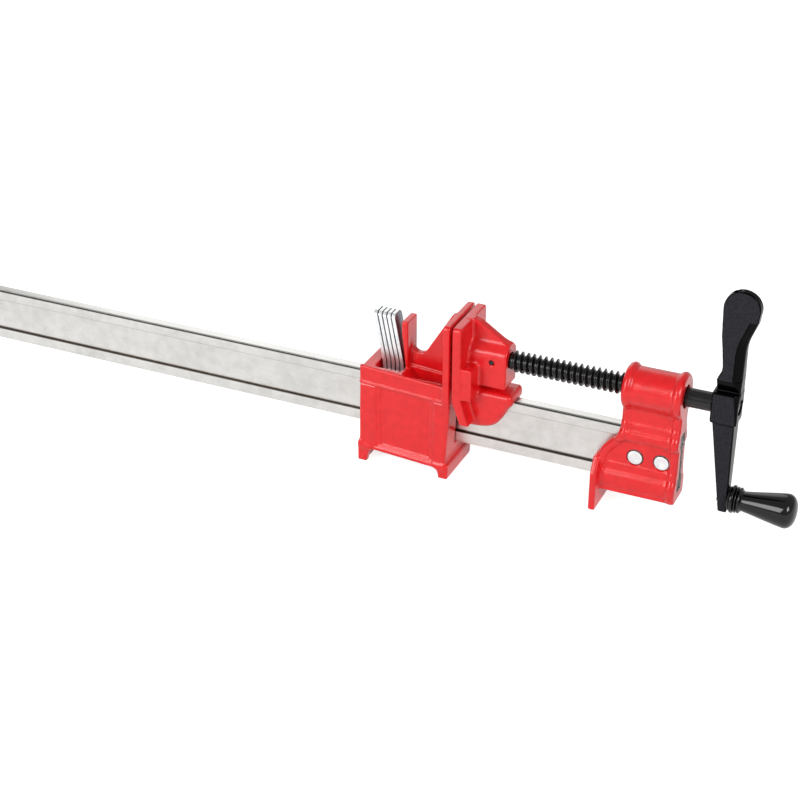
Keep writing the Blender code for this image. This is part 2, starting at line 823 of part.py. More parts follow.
def make_grip(material):
    """A turned knob with a collar, a neck and a full, rounded body, on a blind bore."""
    neck, body, collar = grip_neck_diameter / 2, grip_diameter / 2, grip_collar_diameter / 2
    swell_shares = ((0.12, 0.02), (0.24, 0.16), (0.38, 0.44), (0.52, 0.74), (0.66, 0.95), (0.76, 1.0),
                    (0.85, 0.94), (0.92, 0.72), (0.97, 0.36), (0.992, -0.1))
    profile = [(0, 0), (0, collar - lap / 2), (lap / 2, collar), (grip_collar_width - lap / 2, collar)]
    profile += [(grip_collar_width, collar - lap / 2), (grip_collar_width, neck)]
    profile += [(grip_length * x_share, neck + (body - neck) * swell_share)
                for x_share, swell_share in swell_shares]
    profile += [(grip_length, 0)]
    grip = turned("grip", profile, (grip_start(), 0, grip_height()), 28)
    bore_diameter = axle_diameter + 2 * grip_bore_gap
    bore = cylinder("grip_bore", bore_diameter, (grip_start() - overrun, 0, grip_height()),
                    (grip_start() + axle_depth + grip_bore_gap, 0, grip_height()), 20)
    return finish(cut(grip, bore), material)


def make_grip_axle(material):
    left = axle_seat() - clearance
    radius, head = axle_diameter / 2, axle_head_diameter / 2
    end = grip_start() + axle_depth
    profile = [
        (left - axle_head_height, 0), (left - axle_head_height, head - lap / 2), (left - lap / 2, head),
        (left, head), (left, radius), (end - lap / 2, radius), (end, radius - lap / 2), (end, 0),
    ]
    return finish(turned("grip_axle", profile, (0, 0, grip_height()), 20), material)


def make_grip_washer(material):
    start = grip_seat() + clearance
    washer = cylinder("grip_washer", washer_diameter, (start, 0, grip_height()),
                      (start + washer_thickness, 0, grip_height()), 24)
    hole = cylinder("washer_hole", axle_diameter + 2 * grip_bore_gap,
                    (start - overrun, 0, grip_height()),
                    (start + washer_thickness + overrun, 0, grip_height()), 20)
    return finish(cut(washer, hole), material)


def box_right():
    """X of the sliding jaw's clamping face."""
    return jaw_face - jaws_gap


def box_left():
    return box_right() - box_length


def box_top(x):
    """Height of the box's raked rim, which falls towards the clamping face."""
    return rail_top + box_top_rise - box_rake_drop * (x - box_left()) / box_length


def box_bottom(x):
    return box_underside - box_rake_drop * (x - box_left()) / box_length


def box_side():
    left, right = box_left(), box_right()
    return [
        (left - box_foot_reach / 2, box_bottom(left)), (right - box_lean, box_bottom(right)),
        (right - lap, rail_top), (right, box_top(right)), (left, box_top(left)),
    ]


def jaw_foot_side(start, end, sweep, top):
    """A foot across the box as (x, z). The sweep joins it to the underside, to the right if positive."""
    if sweep > 0:
        return [(start, 0), (end, 0), (end + sweep * box_foot_waist_share, box_underside / 2),
                (end + sweep, box_underside + lap), (start + box_foot_reach, top), (start, top - lap)]
    return [(start, 0), (end, 0), (end + lap / 2, top), (start + 2 * sweep, top), (start + sweep, top / 2),
            (start + sweep / 4, top / 4)]


def fulcrum():
    """X of the edge of the box's mouth that the clutch plates bear on, with the jaw loaded."""
    return box_left() + box_fulcrum_place


def plate_place(number):
    """X of a clutch plate's middle at the rail's middle, counted from the clamping face."""
    lean = (rail_top + box_top_rise - rail_middle) * math.tan(plate_lock_angle)
    return fulcrum() - plate_to_fulcrum - plate_thickness / 2 + lean - number * plate_pitch


def mouth_left():
    lean = (rail_top + box_top_rise - rail_middle) * math.tan(plate_lock_angle)
    return plate_place(plate_count - 1) - plate_thickness / 2 - lean - mouth_margin


def horn_right():
    return fulcrum() + horn_root


def horn_side():
    """The finger horn as (x, z), leaning over the plates and rounded at the top."""
    right, left = horn_right(), horn_right() - horn_thickness
    top, kick = rail_top + horn_height, rail_top + horn_kick_rise
    crown = arc(((left + right) / 2, top - horn_thickness / 2), horn_thickness / 2, 0, 180, 6)
    return [(fulcrum(), rail_top + box_deck), (right, rail_top + box_deck)] + crown + [
        (left, kick), (fulcrum(), box_top(fulcrum()) + lap)]


def gusset_side():
    """The gusset as (x, z), from the horn over the finger notch and up to the top of the jaw plate."""
    start, end = fulcrum() + lap / 2, box_right() - face_plate_thickness + lap
    top = rail_top + face_plate_top - gusset_drop
    low = rail_top + spine_foot
    notch = (horn_right() + notch_run, rail_top + notch_depth_rise + notch_radius)
    steepness = math.atan(gusset_slope)
    touch = (notch[0] + notch_radius * math.sin(steepness), notch[1] - notch_radius * math.cos(steepness))
    slope_end = (touch[0] + (top - touch[1]) / gusset_slope, top)
    bowl = arc(notch, notch_radius, 185, 331, 8)
    return [(start, low), (end, low), (end, top), slope_end] + bowl[::-1] + [
        (horn_right() - lap / 2, notch[1] + notch_radius / 2)]


def face_plate_side():
    left, right = box_right() - face_plate_thickness, box_right()
    top = rail_top + face_plate_top
    return [
        (left, rail_top), (right, rail_top), (right, top - face_plate_bevel),
        (right - face_plate_bevel, top), (left + face_plate_bevel, top), (left, top - face_plate_bevel),
    ]


def make_sliding_jaw(material):
    jaw = outline("sliding_jaw", [box_side()], "Y", box_width)
    left, right = box_left(), box_right()
    inner_left, inner_right = left + box_end_wall, right - face_plate_thickness - box_lean
    half = box_width / 2 - box_wall
    cavity_top = rail_top - box_deck
    cavity = box("box_cavity", (inner_left, -half, -overrun), (inner_right, half, cavity_top))
    mouth = box("box_mouth", (mouth_left(), -mouth_width / 2, cavity_top - lap),
                (fulcrum(), mouth_width / 2, rail_top + box_top_rise + overrun))
    pockets = [
        box(f"box_pocket_{side}",
            (horn_right() + lap, min(sign * spine_width / 2, sign * (half + pocket_margin / 2)),
             rail_top + pocket_floor),
            (right - face_plate_thickness, max(sign * spine_width / 2, sign * (half + pocket_margin / 2)),
             rail_top + box_top_rise + overrun))
        for side, sign in (("front", -1), ("back", 1))
    ]
    panels = [
        box(f"box_panel_{side}",
            (left + box_stile, sign * (box_width / 2 + overrun / 2) - overrun / 2 - box_face_inset,
             box_bottom(left) + box_ledge),
            (right - box_stile, sign * (box_width / 2 + overrun / 2) + overrun / 2 + box_face_inset,
             box_bottom(left) + box_ledge + box_panel_rise))
        for side, sign in (("front", -1), ("back", 1))
    ]
    cut(jaw, cavity, mouth, *pockets, *panels)

    foot_left = left - box_foot_reach
    left_foot = outline("jaw_left_foot", [jaw_foot_side(foot_left, foot_left + box_foot_length,
                                                    box_foot_sweep, box_foot_rise)], "Y", box_foot_width)
    foot_right = right - box_lean / 2 + clearance
    right_foot = outline("jaw_right_foot", [jaw_foot_side(foot_right - box_foot_length, foot_right,
                                                      -box_foot_sweep, box_foot_rise * box_right_foot_share)],
                         "Y", box_foot_width)
    plate = outline("jaw_face_plate", [face_plate_side()], "Y", face_plate_width)
    gusset = outline("jaw_gusset", [gusset_side()], "Y", gusset_thickness)
    horn = outline("jaw_horn", [horn_side()], "Y", horn_width)
    join(jaw, left_foot, right_foot, plate, gusset, horn)

    half_slot = rail_width / 2 + box_slot_gap
    slot = box("box_rail_slot", (left - box_foot_reach - overrun, -half_slot, rail_lift - box_slot_gap),
               (right + overrun, half_slot, rail_top + box_slot_gap))
    seat = cylinder("spring_seat", spring_diameter + 2 * clearance,
                    (mouth_left(), 0, spring_height()),
                    (spring_start() + spring_length + clearance, 0, spring_height()), 16)
    return finish(cut(jaw, slot, seat), material)


def spring_height():
    return rail_top + spring_rise


def spring_start():
    """X where the spring bears on the first clutch plate, at the spring's own height."""
    lean = (spring_height() - rail_middle) * math.tan(plate_lock_angle)
    return plate_place(0) + plate_thickness / 2 / math.cos(plate_lock_angle) - lean + 2 * clearance


def plate_side(width):
    """A clutch plate edge on as (x, z) about its pivot: locked on the rail, with its tab bent back."""
    tilt, tab = math.tan(plate_lock_angle), math.tan(plate_tab_angle)
    half = width / 2 / math.cos(plate_lock_angle)
    foot = -(rail_height / 2 + plate_foot)
    bend = rail_height / 2 + plate_bend_rise
    top = rail_height / 2 + plate_top
    bend_x = -bend * tilt
    top_x = bend_x - (top - bend) * tab
    half_tab = width / 2 / math.cos(plate_tab_angle)
    return [
        (-foot * tilt - half, foot), (-foot * tilt + half, foot), (bend_x + half, bend),
        (top_x + half_tab, top), (top_x - half_tab, top), (bend_x - half, bend),
    ]


def plate_window():
    """The window's half height. The plate grips the rail at its tilt, and clears it when square."""
    reach = rail_height / 2 + clearance + plate_thickness / 2 * math.sin(plate_lock_angle)
    return reach / math.cos(plate_lock_angle)


def plate_face():
    """A clutch plate face on as (y, z) about its pivot, and its window."""
    half, tab = plate_width / 2, plate_tab_width / 2
    shoulder = rail_height / 2 + plate_shoulder
    foot, top = rail_height / 2 + plate_foot, rail_height / 2 + plate_top
    right = [
        (half - lap, -foot), (half, -foot + lap), (half, shoulder - 2 * lap), (half - 2 * lap, shoulder),
        (tab, shoulder), (tab, top - plate_tab_corner), (tab - plate_tab_corner, top),
    ]
    half_slot = rail_width / 2 + clearance
    window = [(half_slot, -plate_window()), (half_slot, plate_window())]
    return mirrored(right), mirrored(window)


def make_clutch_plates(material):
    for number in range(plate_count):
        place = (plate_place(number), 0, rail_middle)
        plate = outline(f"clutch_plate_{number + 1}", [plate_side(plate_thickness)], "Y", plate_width, place)
        face = outline(f"plate_face_{number + 1}", plate_face(), "X", rail_height, place)
        finish(keep_inside(plate, face), material)


def make_clutch_spring(material):
    """A coil compression spring along X, between the first clutch plate and its seat in the casting."""
    radius = (spring_diameter - spring_wire) / 2
    span = spring_length - spring_wire
    count = spring_turns * spring_sides
    curve = bpy.data.curves.new("clutch_spring", "CURVE")
    curve.dimensions = "3D"
    curve.bevel_depth = spring_wire / 2
    curve.bevel_resolution = 0
    curve.use_fill_caps = True
    spline = curve.splines.new("POLY")
    spline.points.add(count)
    for i, point in enumerate(spline.points):
        angle = 2 * math.pi * i / spring_sides
        x = spring_wire / 2 + span * i / count
        point.co = (x, radius * math.sin(angle), radius * math.cos(angle), 1)
    spring = new_object("clutch_spring", curve, (spring_start(), 0, spring_height()))
    return finish(mesh_from_curve(spring), material)


def main():
    red_paint = make_material("red_paint", (0.62, 0.010, 0.014), 0.34, 0.0)
    plated_steel = make_material("plated_steel", (0.72, 0.73, 0.73), 0.30, 1.0)
    black_steel = make_material("black_steel", (0.018, 0.018, 0.020), 0.38, 1.0)
    black_enamel = make_material("black_enamel", (0.012, 0.012, 0.014), 0.18, 0.0)
    black_plastic = make_material("black_plastic", (0.010, 0.010, 0.012), 0.22, 0.0)
    spring_steel = make_material("spring_steel", (0.46, 0.47, 0.49), 0.35, 1.0)
    make_rail(plated_steel)
    make_rail_stop(plated_steel)
    make_rivets(plated_steel)
    make_head(red_paint)
    make_spindle_jaw(red_paint)
    make_jaw_pins(black_steel)
    make_spindle(black_steel)
    make_crank(black_enamel)
    make_crank_pin(black_steel)
    make_grip(black_plastic)
    make_grip_axle(black_steel)
    make_grip_washer(black_steel)
    make_sliding_jaw(red_paint)
    make_clutch_plates(plated_steel)
    make_clutch_spring(spring_steel)


main()
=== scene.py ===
"""The looks of the I-beam bar clamp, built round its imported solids: enamelled iron castings on a bright steel
rail, a blackened screw, a black crank with a turned grip, and a pack of bright clutch plates.
Metres, +Z up, and the rail runs along X, as in the solids."""

import json
import math

import bmesh
import bpy
import numpy as np
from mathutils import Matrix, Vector

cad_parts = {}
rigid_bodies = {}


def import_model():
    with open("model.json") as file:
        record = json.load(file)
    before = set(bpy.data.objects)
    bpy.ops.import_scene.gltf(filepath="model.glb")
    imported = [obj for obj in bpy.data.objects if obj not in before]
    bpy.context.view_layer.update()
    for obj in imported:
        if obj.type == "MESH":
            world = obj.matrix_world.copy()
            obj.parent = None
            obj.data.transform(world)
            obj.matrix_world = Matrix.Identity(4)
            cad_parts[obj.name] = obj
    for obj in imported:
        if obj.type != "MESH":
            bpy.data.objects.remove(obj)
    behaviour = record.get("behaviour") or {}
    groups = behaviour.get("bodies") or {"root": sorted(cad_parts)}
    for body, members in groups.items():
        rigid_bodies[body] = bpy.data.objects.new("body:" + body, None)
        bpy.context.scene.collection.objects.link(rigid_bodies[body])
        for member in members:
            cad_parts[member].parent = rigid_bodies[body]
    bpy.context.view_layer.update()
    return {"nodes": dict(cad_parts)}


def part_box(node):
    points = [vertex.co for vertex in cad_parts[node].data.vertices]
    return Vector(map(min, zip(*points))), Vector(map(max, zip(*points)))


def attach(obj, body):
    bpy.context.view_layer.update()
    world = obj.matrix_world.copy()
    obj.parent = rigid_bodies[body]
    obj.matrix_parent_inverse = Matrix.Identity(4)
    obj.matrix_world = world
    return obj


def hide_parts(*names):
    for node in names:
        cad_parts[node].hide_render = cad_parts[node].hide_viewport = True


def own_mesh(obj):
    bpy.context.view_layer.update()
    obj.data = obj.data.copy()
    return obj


for left_over in list(bpy.data.objects):
    bpy.data.objects.remove(left_over)
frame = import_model()


# The rail is a cold-drawn steel I-section with a bright zinc finish. The dies leave fine lines along it,
# the flanges have rounded corners, and the ends are sawn square with the burr filed off.

rail_low, rail_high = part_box("rail")
rail_flange = 0.0105
rail_web = 0.0040
rail_corner = 0.0014
rail_fillet = 0.0016
rail_taper = 0.0001
rail_burr = 0.0004
rail_cuts = 24
rail_middle = (rail_low.z + rail_high.z) / 2
rail_top = rail_high.z
sharp_angle = math.radians(38)


def linear(colour):
    """A hex colour in sRGB, as the linear colour with alpha that a shader takes: a straight line near black,
    and a power of 2.4 above it."""
    channels = [int(colour[i:i + 2], 16) / 255 for i in (0, 2, 4)]
    return [c / 12.92 if c <= 0.04045 else ((c + 0.055) / 1.055) ** 2.4 for c in channels] + [1.0]


def give(tree, node, inputs):
    """Gives each named input of a node its value, or links it to an output. A node stands for its first
    output in use."""
    for name, value in dict(inputs).items():
        if isinstance(value, bpy.types.Node):
            value = next(output for output in value.outputs if output.enabled)
        if isinstance(value, bpy.types.NodeSocket):
            tree.links.new(value, node.inputs[name])
        else:
            node.inputs[name].default_value = value


def add(tree, kind, inputs=(), steps=(), **settings):
    """Adds a shader node with its inputs and settings. The steps of a colour ramp are places and colours."""
    made = tree.nodes.new("ShaderNode" + kind)
    for name, value in settings.items():
        setattr(made, name, value)
    for number, (place, colour) in enumerate(steps):
        elements = made.color_ramp.elements
        step = elements[number] if number < len(elements) else elements.new(place)
        step.position, step.color = place, linear(colour)
    give(tree, made, inputs)
    return made


def new_finish(name):
    """An empty material: its node tree, its surface shader, and the place that its patterns read."""
    material = bpy.data.materials.new(name)
    material.use_nodes = True
    tree = material.node_tree
    return material, tree, tree.nodes["Principled BSDF"], add(tree, "TexCoord").outputs["Object"]


def new_object(name, data):
    """An object in the scene, for a mesh, a lamp or the camera."""
    made = bpy.data.objects.new(name, data)
    bpy.context.scene.collection.objects.link(made)
    return made


def new_piece(name, points, faces, material, sharp_from=sharp_angle):
    """A mesh in its place, smooth but for edges sharper than an angle."""
    mesh = bpy.data.meshes.new(name)
    mesh.from_pydata(np.asarray(points).reshape(-1, 3), [], [list(map(int, face)) for face in faces])
    mesh.shade_smooth()
    mesh.set_sharp_from_angle(angle=sharp_from)
    mesh.materials.append(material)
    return new_object(name, mesh)


def lofted(rings):
    """Points and faces of a solid through closed rings of as many points each, with flat ends. The rings are
    one array of rows, points round the row, and x y z. Seen from the first row they run clockwise, so that
    the faces look outwards."""
    rows, around = rings.shape[:2]
    here = np.arange(rows * around).reshape(rows, around)
    ahead = np.roll(here, -1, axis=1)
    sides = np.stack([here[:-1], ahead[:-1], ahead[1:], here[1:]], axis=-1).reshape(-1, 4)
    return rings.reshape(-1, 3), [*sides, here[0][::-1], here[-1]]


def arc(centre, radius, start, end, count):
    """Points on an arc in a plane, in degrees from its first axis towards its second."""
    turns = np.radians(np.linspace(start, end, count + 1))
    return np.stack([centre[0] + radius * np.cos(turns), centre[1] + radius * np.sin(turns)], axis=1)


def rail_section(grow):
    """The I-section as y and z, grown by a distance: flange corner, flange edge, tapered inner face, fillet
    and web on one side, then mirrored twice and lifted to the rail's middle."""
    half_width = (rail_high.y - rail_low.y) / 2 + grow
    half_height = (rail_high.z - rail_low.z) / 2 + grow
    half_web = rail_web / 2 + grow
    inner = half_height - rail_flange - 2 * grow
    lip = rail_corner / 2
    quarter = np.concatenate([
        arc((half_width - rail_corner, rail_corner - half_height), rail_corner, -90, 0, 6),
        arc((half_width - lip, -inner - lip), lip, 0, 80, 4),
        arc((half_web + rail_fillet, rail_fillet - inner - rail_taper), rail_fillet, 270, 180, 5),
    ])
    right = np.concatenate([quarter, quarter[::-1] * (1, -1)])
    return np.concatenate([right, right[::-1] * (-1, 1)]) + (0, rail_middle)


def squareness(tree, axis):
    """How squarely a face stands across an axis: 1 where its normal runs along the axis, and 0 where the face
    itself does."""
    facing = add(tree, "SeparateXYZ", {"Vector": add(tree, "TexCoord").outputs["Normal"]})
    return add(tree, "Math", {0: facing.outputs[axis]}, operation="ABSOLUTE")


# A noise runs from 0 to 1 but seldom leaves this range, which each finish spreads over its own.
noise_spread = {"From Min": 0.3, "From Max": 0.7}


def bright_steel():
    """Drawn steel with a bright zinc finish: pale, softly mottled where the plating took unevenly, with
    faint lines along X about 1 mm apart. Painted shade darkens the flanges' inner edges, a painted dark
    reflection lines the rounded upper corners, and the sawn ends are dark too."""
    line_spacing = 0.0010
    line_length = 0.12
    line_depth = 0.00003
    cloud_size = 0.011
    patch_size = 0.060
    cloud_share, line_share, patch_share = 0.62, 0.13, 0.25
    sawn_from = 0.9
    # Bands by height: painted shade along the flanges' inner edges, and a painted dark reflection on the
    # rounded upper corners.
    lower_shade_line_shares = [(-0.016, "FFFFFF"), (-0.010, "57504B"), (0.016, "6B645F"), (0.028, "FFFFFF")]
    upper_shade_line_shares = [(-0.016, "FFFFFF"), (-0.006, "857C75"), (0.004, "9A938E"), (0.014, "FFFFFF")]
    top_corner_reflection_shares = [(0.955, "FFFFFF"), (0.967, "4A4A4A"), (0.988, "3C3C3C"), (0.996, "FFFFFF")]
    material, tree, shader, place = new_finish("bright_drawn_steel")
    draw = (1 / line_length, 1 / line_spacing, 1 / line_spacing)
    drawn = add(tree, "Mapping", {"Vector": place, "Scale": draw})
    lines = add(tree, "TexNoise", {"Vector": drawn, "Scale": 1, "Detail": 3, "Roughness": 0.6})
    clouds = add(tree, "TexNoise", {"Vector": place, "Scale": 1 / cloud_size, "Detail": 6, "Roughness": 0.65})
    patches = add(tree, "TexNoise", {"Vector": place, "Scale": 1 / patch_size, "Detail": 2})
    blend = add(tree, "Math", {0: clouds, 1: cloud_share}, operation="MULTIPLY")
    for pattern, share in ((lines, line_share), (patches, patch_share)):
        blend = add(tree, "Math", {0: pattern, 1: share, 2: blend}, operation="MULTIPLY_ADD")
    plating = add(tree, "ValToRGB", {"Fac": blend}, steps=[
        (0.36, "C8C7C3"), (0.47, "D0CFCC"), (0.58, "D8D7D4")])
    height = add(tree, "SeparateXYZ", {"Vector": place})
    level = add(tree, "MapRange", {"Value": height.outputs["Z"], "From Min": rail_low.z,
                                   "From Max": rail_high.z})
    lower = rail_flange / (rail_high.z - rail_low.z)
    painted_shade_steps = [(lower + share, colour) for share, colour in lower_shade_line_shares]
    painted_shade_steps += [(1 - lower + share, colour) for share, colour in upper_shade_line_shares]
    # The painted shade and painted dark reflection, as a ramp by height, laid over the plating.
    painted_shade_ramp = add(tree, "ValToRGB", {"Fac": level}, steps=painted_shade_steps + top_corner_reflection_shares)
    shaded_plating = add(tree, "Mix", {0: 1.0, 6: plating, 7: painted_shade_ramp}, data_type="RGBA", blend_type="MULTIPLY")
    sawn = add(tree, "Math", {0: squareness(tree, "X"), 1: sawn_from}, operation="GREATER_THAN")
    colour = add(tree, "Mix", {0: sawn, 6: shaded_plating, 7: linear("5A5653")}, data_type="RGBA")
    rough = add(tree, "MapRange", {"Value": clouds, **noise_spread, "To Min": 0.26, "To Max": 0.42})
    bump = add(tree, "Bump", {"Height": lines, "Distance": line_depth, "Strength": 0.5})
    give(tree, shader, {"Base Color": colour, "Roughness": rough, "Metallic": 1.0, "Normal": bump})
    return material


rail_places = np.linspace(rail_low.x + rail_burr, rail_high.x - rail_burr, rail_cuts)
rail_stations = [(rail_low.x, -rail_burr), *((x, 0) for x in rail_places), (rail_high.x, -rail_burr)]
rail_rings = np.stack([np.insert(rail_section(grow), 0, x, axis=1) for x, grow in rail_stations])
rail = new_piece("drawn_rail", *lofted(rail_rings), bright_steel())
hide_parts("rail")
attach(rail, "bar")


# The head is an iron casting in gloss red enamel: a screw barrel over a saddle that wraps the rail, with
# rolled rims at both edges and a broad foot. Two rivets hold it on the rail.

head_low, head_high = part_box("head_casting")
screw_low, screw_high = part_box("spindle")
spindle_height = (screw_low.z + screw_high.z) / 2
casting_step = 0.0007
casting_edge = 0.0012
casting_sharp_angle = math.radians(60)
spare_steps = 2.5
slot_gap = 0.0003


def smooth_line(points, steps=5):
    """A curve through points, in cubic stretches. At each point it runs along the line that joins the
    point's neighbours."""
    points = np.asarray(points, float)
    padded = np.concatenate([points[:1], points, points[-1:]])
    before, start, end, after = padded[:-3], padded[1:-2], padded[2:-1], padded[3:]
    share = (np.arange(steps) / steps)[None, :, None]
    start_pull, end_pull = (end - before)[:, None] / 2, (after - start)[:, None] / 2
    start, end = start[:, None], end[:, None]
    curve = (
        (2 * share**3 - 3 * share**2 + 1) * start + (share**3 - 2 * share**2 + share) * start_pull
        + (3 * share**2 - 2 * share**3) * end + (share**3 - share**2) * end_pull
    )
    return np.concatenate([curve.reshape(-1, 2), points[-1:]])


def spread(shares, start, size):
    """Points at shares of a size along each axis, from a start."""
    return np.array(start) + np.array(shares) * size


def both_sides(right):
    """A closed outline from its right half, which runs from bottom to top."""
    right = np.asarray(right, float)
    return np.concatenate([right, right[::-1] * (-1, 1)])


def slab(along, low, high):
    """Distance out of the space between two parallel planes, negative inside."""
    return np.maximum(low - along, along - high)


def flat_shape(across, up, corners):
    """Distance out of a closed outline in its own plane, negative inside: the distance to its nearest
    side, with the sign that the number of sides passed on the way gives."""
    corners = np.asarray(corners)
    nearest = np.full(np.broadcast(across, up).shape, np.inf)
    inside = np.zeros(nearest.shape, bool)
    for (a0, u0), (a1, u1) in zip(corners, np.roll(corners, -1, axis=0)):
        run, rise = a1 - a0, u1 - u0
        share = np.clip(((across - a0) * run + (up - u0) * rise) / (run * run + rise * rise), 0, 1)
        nearest = np.minimum(nearest, np.hypot(across - a0 - share * run, up - u0 - share * rise))
        if rise:
            inside ^= ((u0 > up) != (u1 > up)) & (across < a0 + (up - u0) * run / rise)
    return np.where(inside, -nearest, nearest)


def both(first, second, edge):
    """The space in both of two shapes, with the edge between them rounded. Deep inside, the distance is the
    larger of theirs. Near the edge it is that from the line a radius inside both, less the radius."""
    near = np.hypot(np.maximum(first + edge, 0), np.maximum(second + edge, 0))
    return np.minimum(-edge, np.maximum(first, second)) + near


def either(first, second, fillet):
    """The space in either of two shapes, with a fillet between them: what is outside both, turned round."""
    return -both(-first, -second, fillet)


def without(first, second, edge):
    """The first shape with the second cut out of it, and the mouth of the cut rounded."""
    return both(first, -second, edge)


def block(x, y, z, low, high, edge):
    """A box with rounded edges, between two opposite corners."""
    sides = both(slab(x, low[0], high[0]), slab(y, low[1], high[1]), edge)
    return both(sides, slab(z, low[2], high[2]), edge)


def skin(name, shape, box, material, step=casting_step):
    """The surface where the distance out of a shape is zero, found on a grid that holds the shape's box and
    a few steps round it. Each cell of the grid that it crosses gets one point, at the mean of the crossings
    of the cell's edges. Each edge that it crosses gets one face, between the four cells round that edge."""
    low, high = np.array(box[0]) - spare_steps * step, np.array(box[1]) + spare_steps * step
    x, y, z = (np.arange(a, b, step) for a, b in zip(low, high))
    field = shape(x[:, None, None], y[None, :, None], z[None, None, :])
    inside = field < 0
    corners = [(i, j, k) for i in (0, 1) for j in (0, 1) for k in (0, 1)]
    size = np.array(field.shape) - 1
    count = sum(
        inside[i:i + size[0], j:j + size[1], k:k + size[2]].astype(np.int8) for i, j, k in corners
    )
    crossed = (count > 0) & (count < len(corners))
    cells = np.argwhere(crossed)
    values = {corner: field[tuple((cells + corner).T)] for corner in corners}
    total, crossings = np.zeros((len(cells), 3)), np.zeros(len(cells))
    for corner in corners:
        for axis in range(3):
            if corner[axis]:
                continue
            other = tuple(np.add(corner, np.eye(3, dtype=int)[axis]))
            first, second = values[corner], values[other]
            passes = (first < 0) != (second < 0)
            share = np.where(passes, first / np.where(passes, first - second, 1), 0)
            spot = np.array(corner) + share[:, None] * np.eye(3)[axis]
            total += np.where(passes[:, None], spot, 0)
            crossings += passes
    points = low + step * (cells + total / crossings[:, None])

    number = np.full(crossed.shape, -1)
    number[crossed] = np.arange(len(cells))
    faces = []
    for axis in range(3):
        one, two = np.roll(np.eye(3, dtype=int), -axis, axis=0)[1:]
        start = inside[tuple(slice(0, n - (a == axis)) for a, n in enumerate(inside.shape))]
        end = inside[tuple(slice(int(a == axis), n) for a, n in enumerate(inside.shape))]
        edges = np.argwhere(start != end)
        around = np.stack([number[tuple((edges - s * one - t * two).T)]
                           for s, t in ((1, 1), (0, 1), (0, 0), (1, 0))], axis=1)
        outwards = start[tuple(edges.T)]
        faces.append(np.where(outwards[:, None], around, around[:, ::-1]))
    return new_piece(name, points, np.concatenate(faces), material, casting_sharp_angle)


def red_enamel():
    """Gloss enamel sprayed on sand-cast iron: a deep even red under a gloss that breaks into small sparks
    on the fine pits of the casting, over its low waves."""
    wave_size = 0.0070
    grain_size = 0.0013
    wave_depth = 0.00022
    grain_depth = 0.00024
    material, tree, shader, place = new_finish("red_enamel_on_cast_iron")
    waves = add(tree, "TexNoise", {"Vector": place, "Scale": 1 / wave_size, "Detail": 2, "Roughness": 0.5})
    grain = add(tree, "TexNoise", {"Vector": place, "Scale": 1 / grain_size, "Detail": 2, "Roughness": 0.6})
    colour = add(tree, "ValToRGB", {"Fac": waves}, steps=[
        (0.30, "D60F15"), (0.52, "DE1218"), (0.75, "E4161C")])
    rough = add(tree, "MapRange", {"Value": grain, **noise_spread, "To Min": 0.30, "To Max": 0.42})
    low_waves = add(tree, "Bump", {"Height": waves, "Distance": wave_depth, "Strength": 0.6})
    pits = add(tree, "Bump", {"Height": grain, "Distance": grain_depth, "Strength": 0.3, "Normal": low_waves})
    sparks = add(tree, "Bump", {"Height": grain, "Distance": grain_depth, "Strength": 0.6,
                                "Normal": low_waves})
    give(tree, shader, {"Base Color": colour, "Roughness": rough, "Specular IOR Level": 0.25, "Normal": pits,
                        "Coat Weight": 0.6, "Coat Roughness": 0.17, "Coat Normal": sparks})
    return material


red_finish = red_enamel()


def bare_iron():
    """Milled cast iron, left bare and oiled: grey and dull, with short cutter marks and darker grain."""
    mark_spacing = 0.0009
    grain_size = 0.0016
    mark_depth = 0.00005
    material, tree, shader, place = new_finish("milled_cast_iron")
    marks = add(tree, "TexNoise", {"Vector": place, "Scale": 1 / mark_spacing, "Detail": 2})
    grain = add(tree, "TexNoise", {"Vector": place, "Scale": 1 / grain_size, "Detail": 4, "Roughness": 0.7})
    colour = add(tree, "ValToRGB", {"Fac": grain}, steps=[
        (0.35, "3E3C3B"), (0.50, "7E7B79"), (0.65, "ABA8A6")])
    bump = add(tree, "Bump", {"Height": marks, "Distance": mark_depth, "Strength": 0.5})
    give(tree, shader, {"Base Color": colour, "Normal": bump, "Metallic": 0.8, "Roughness": 0.48})
    return material


iron_finish = bare_iron()


def leave(piece, finish, shape):
    """Gives another finish to the faces of a piece whose middles lie inside a shape."""
    middles = np.empty(3 * len(piece.data.polygons))
    piece.data.polygons.foreach_get("center", middles)
    piece.data.materials.append(finish)
    bare = shape(*middles.reshape(-1, 3).T) < 0
    piece.data.polygons.foreach_set("material_index", bare.astype(np.int32))


head_end = head_high.x
head_barrel_radius = 0.0171
head_barrel_fillet = 0.0034
head_roll_radius = 0.0038
head_roll_sunk = 0.0014
head_roll_fillet = 0.0012
head_floor = 0.0066
head_bulge_half = 0.0130
head_web_half = 0.0086
head_neck_half = 0.0082
head_crease_drop = 0.0165
head_ridge_rise = 0.0085
head_foot_thickness = 0.0058
head_foot_right = head_low.x + head_foot_thickness
head_foot_width = head_high.y - head_low.y
head_foot_shoulder = 0.0346
head_foot_top = 0.0480
head_foot_edge = 0.0014
head_foot_fillet = 0.0030
head_flare_run = 0.0151
head_bore_radius = 0.0097
head_mouth_edge = 0.0006
head_bare_rim = 0.0016
rivet_low, rivet_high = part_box("head_rivet_left")
rivet_radius = (rivet_high.x - rivet_low.x) / 2
rivet_sides = ("left", "right")
rivet_places = [sum(corner.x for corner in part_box("head_rivet_" + side)) / 2 for side in rivet_sides]


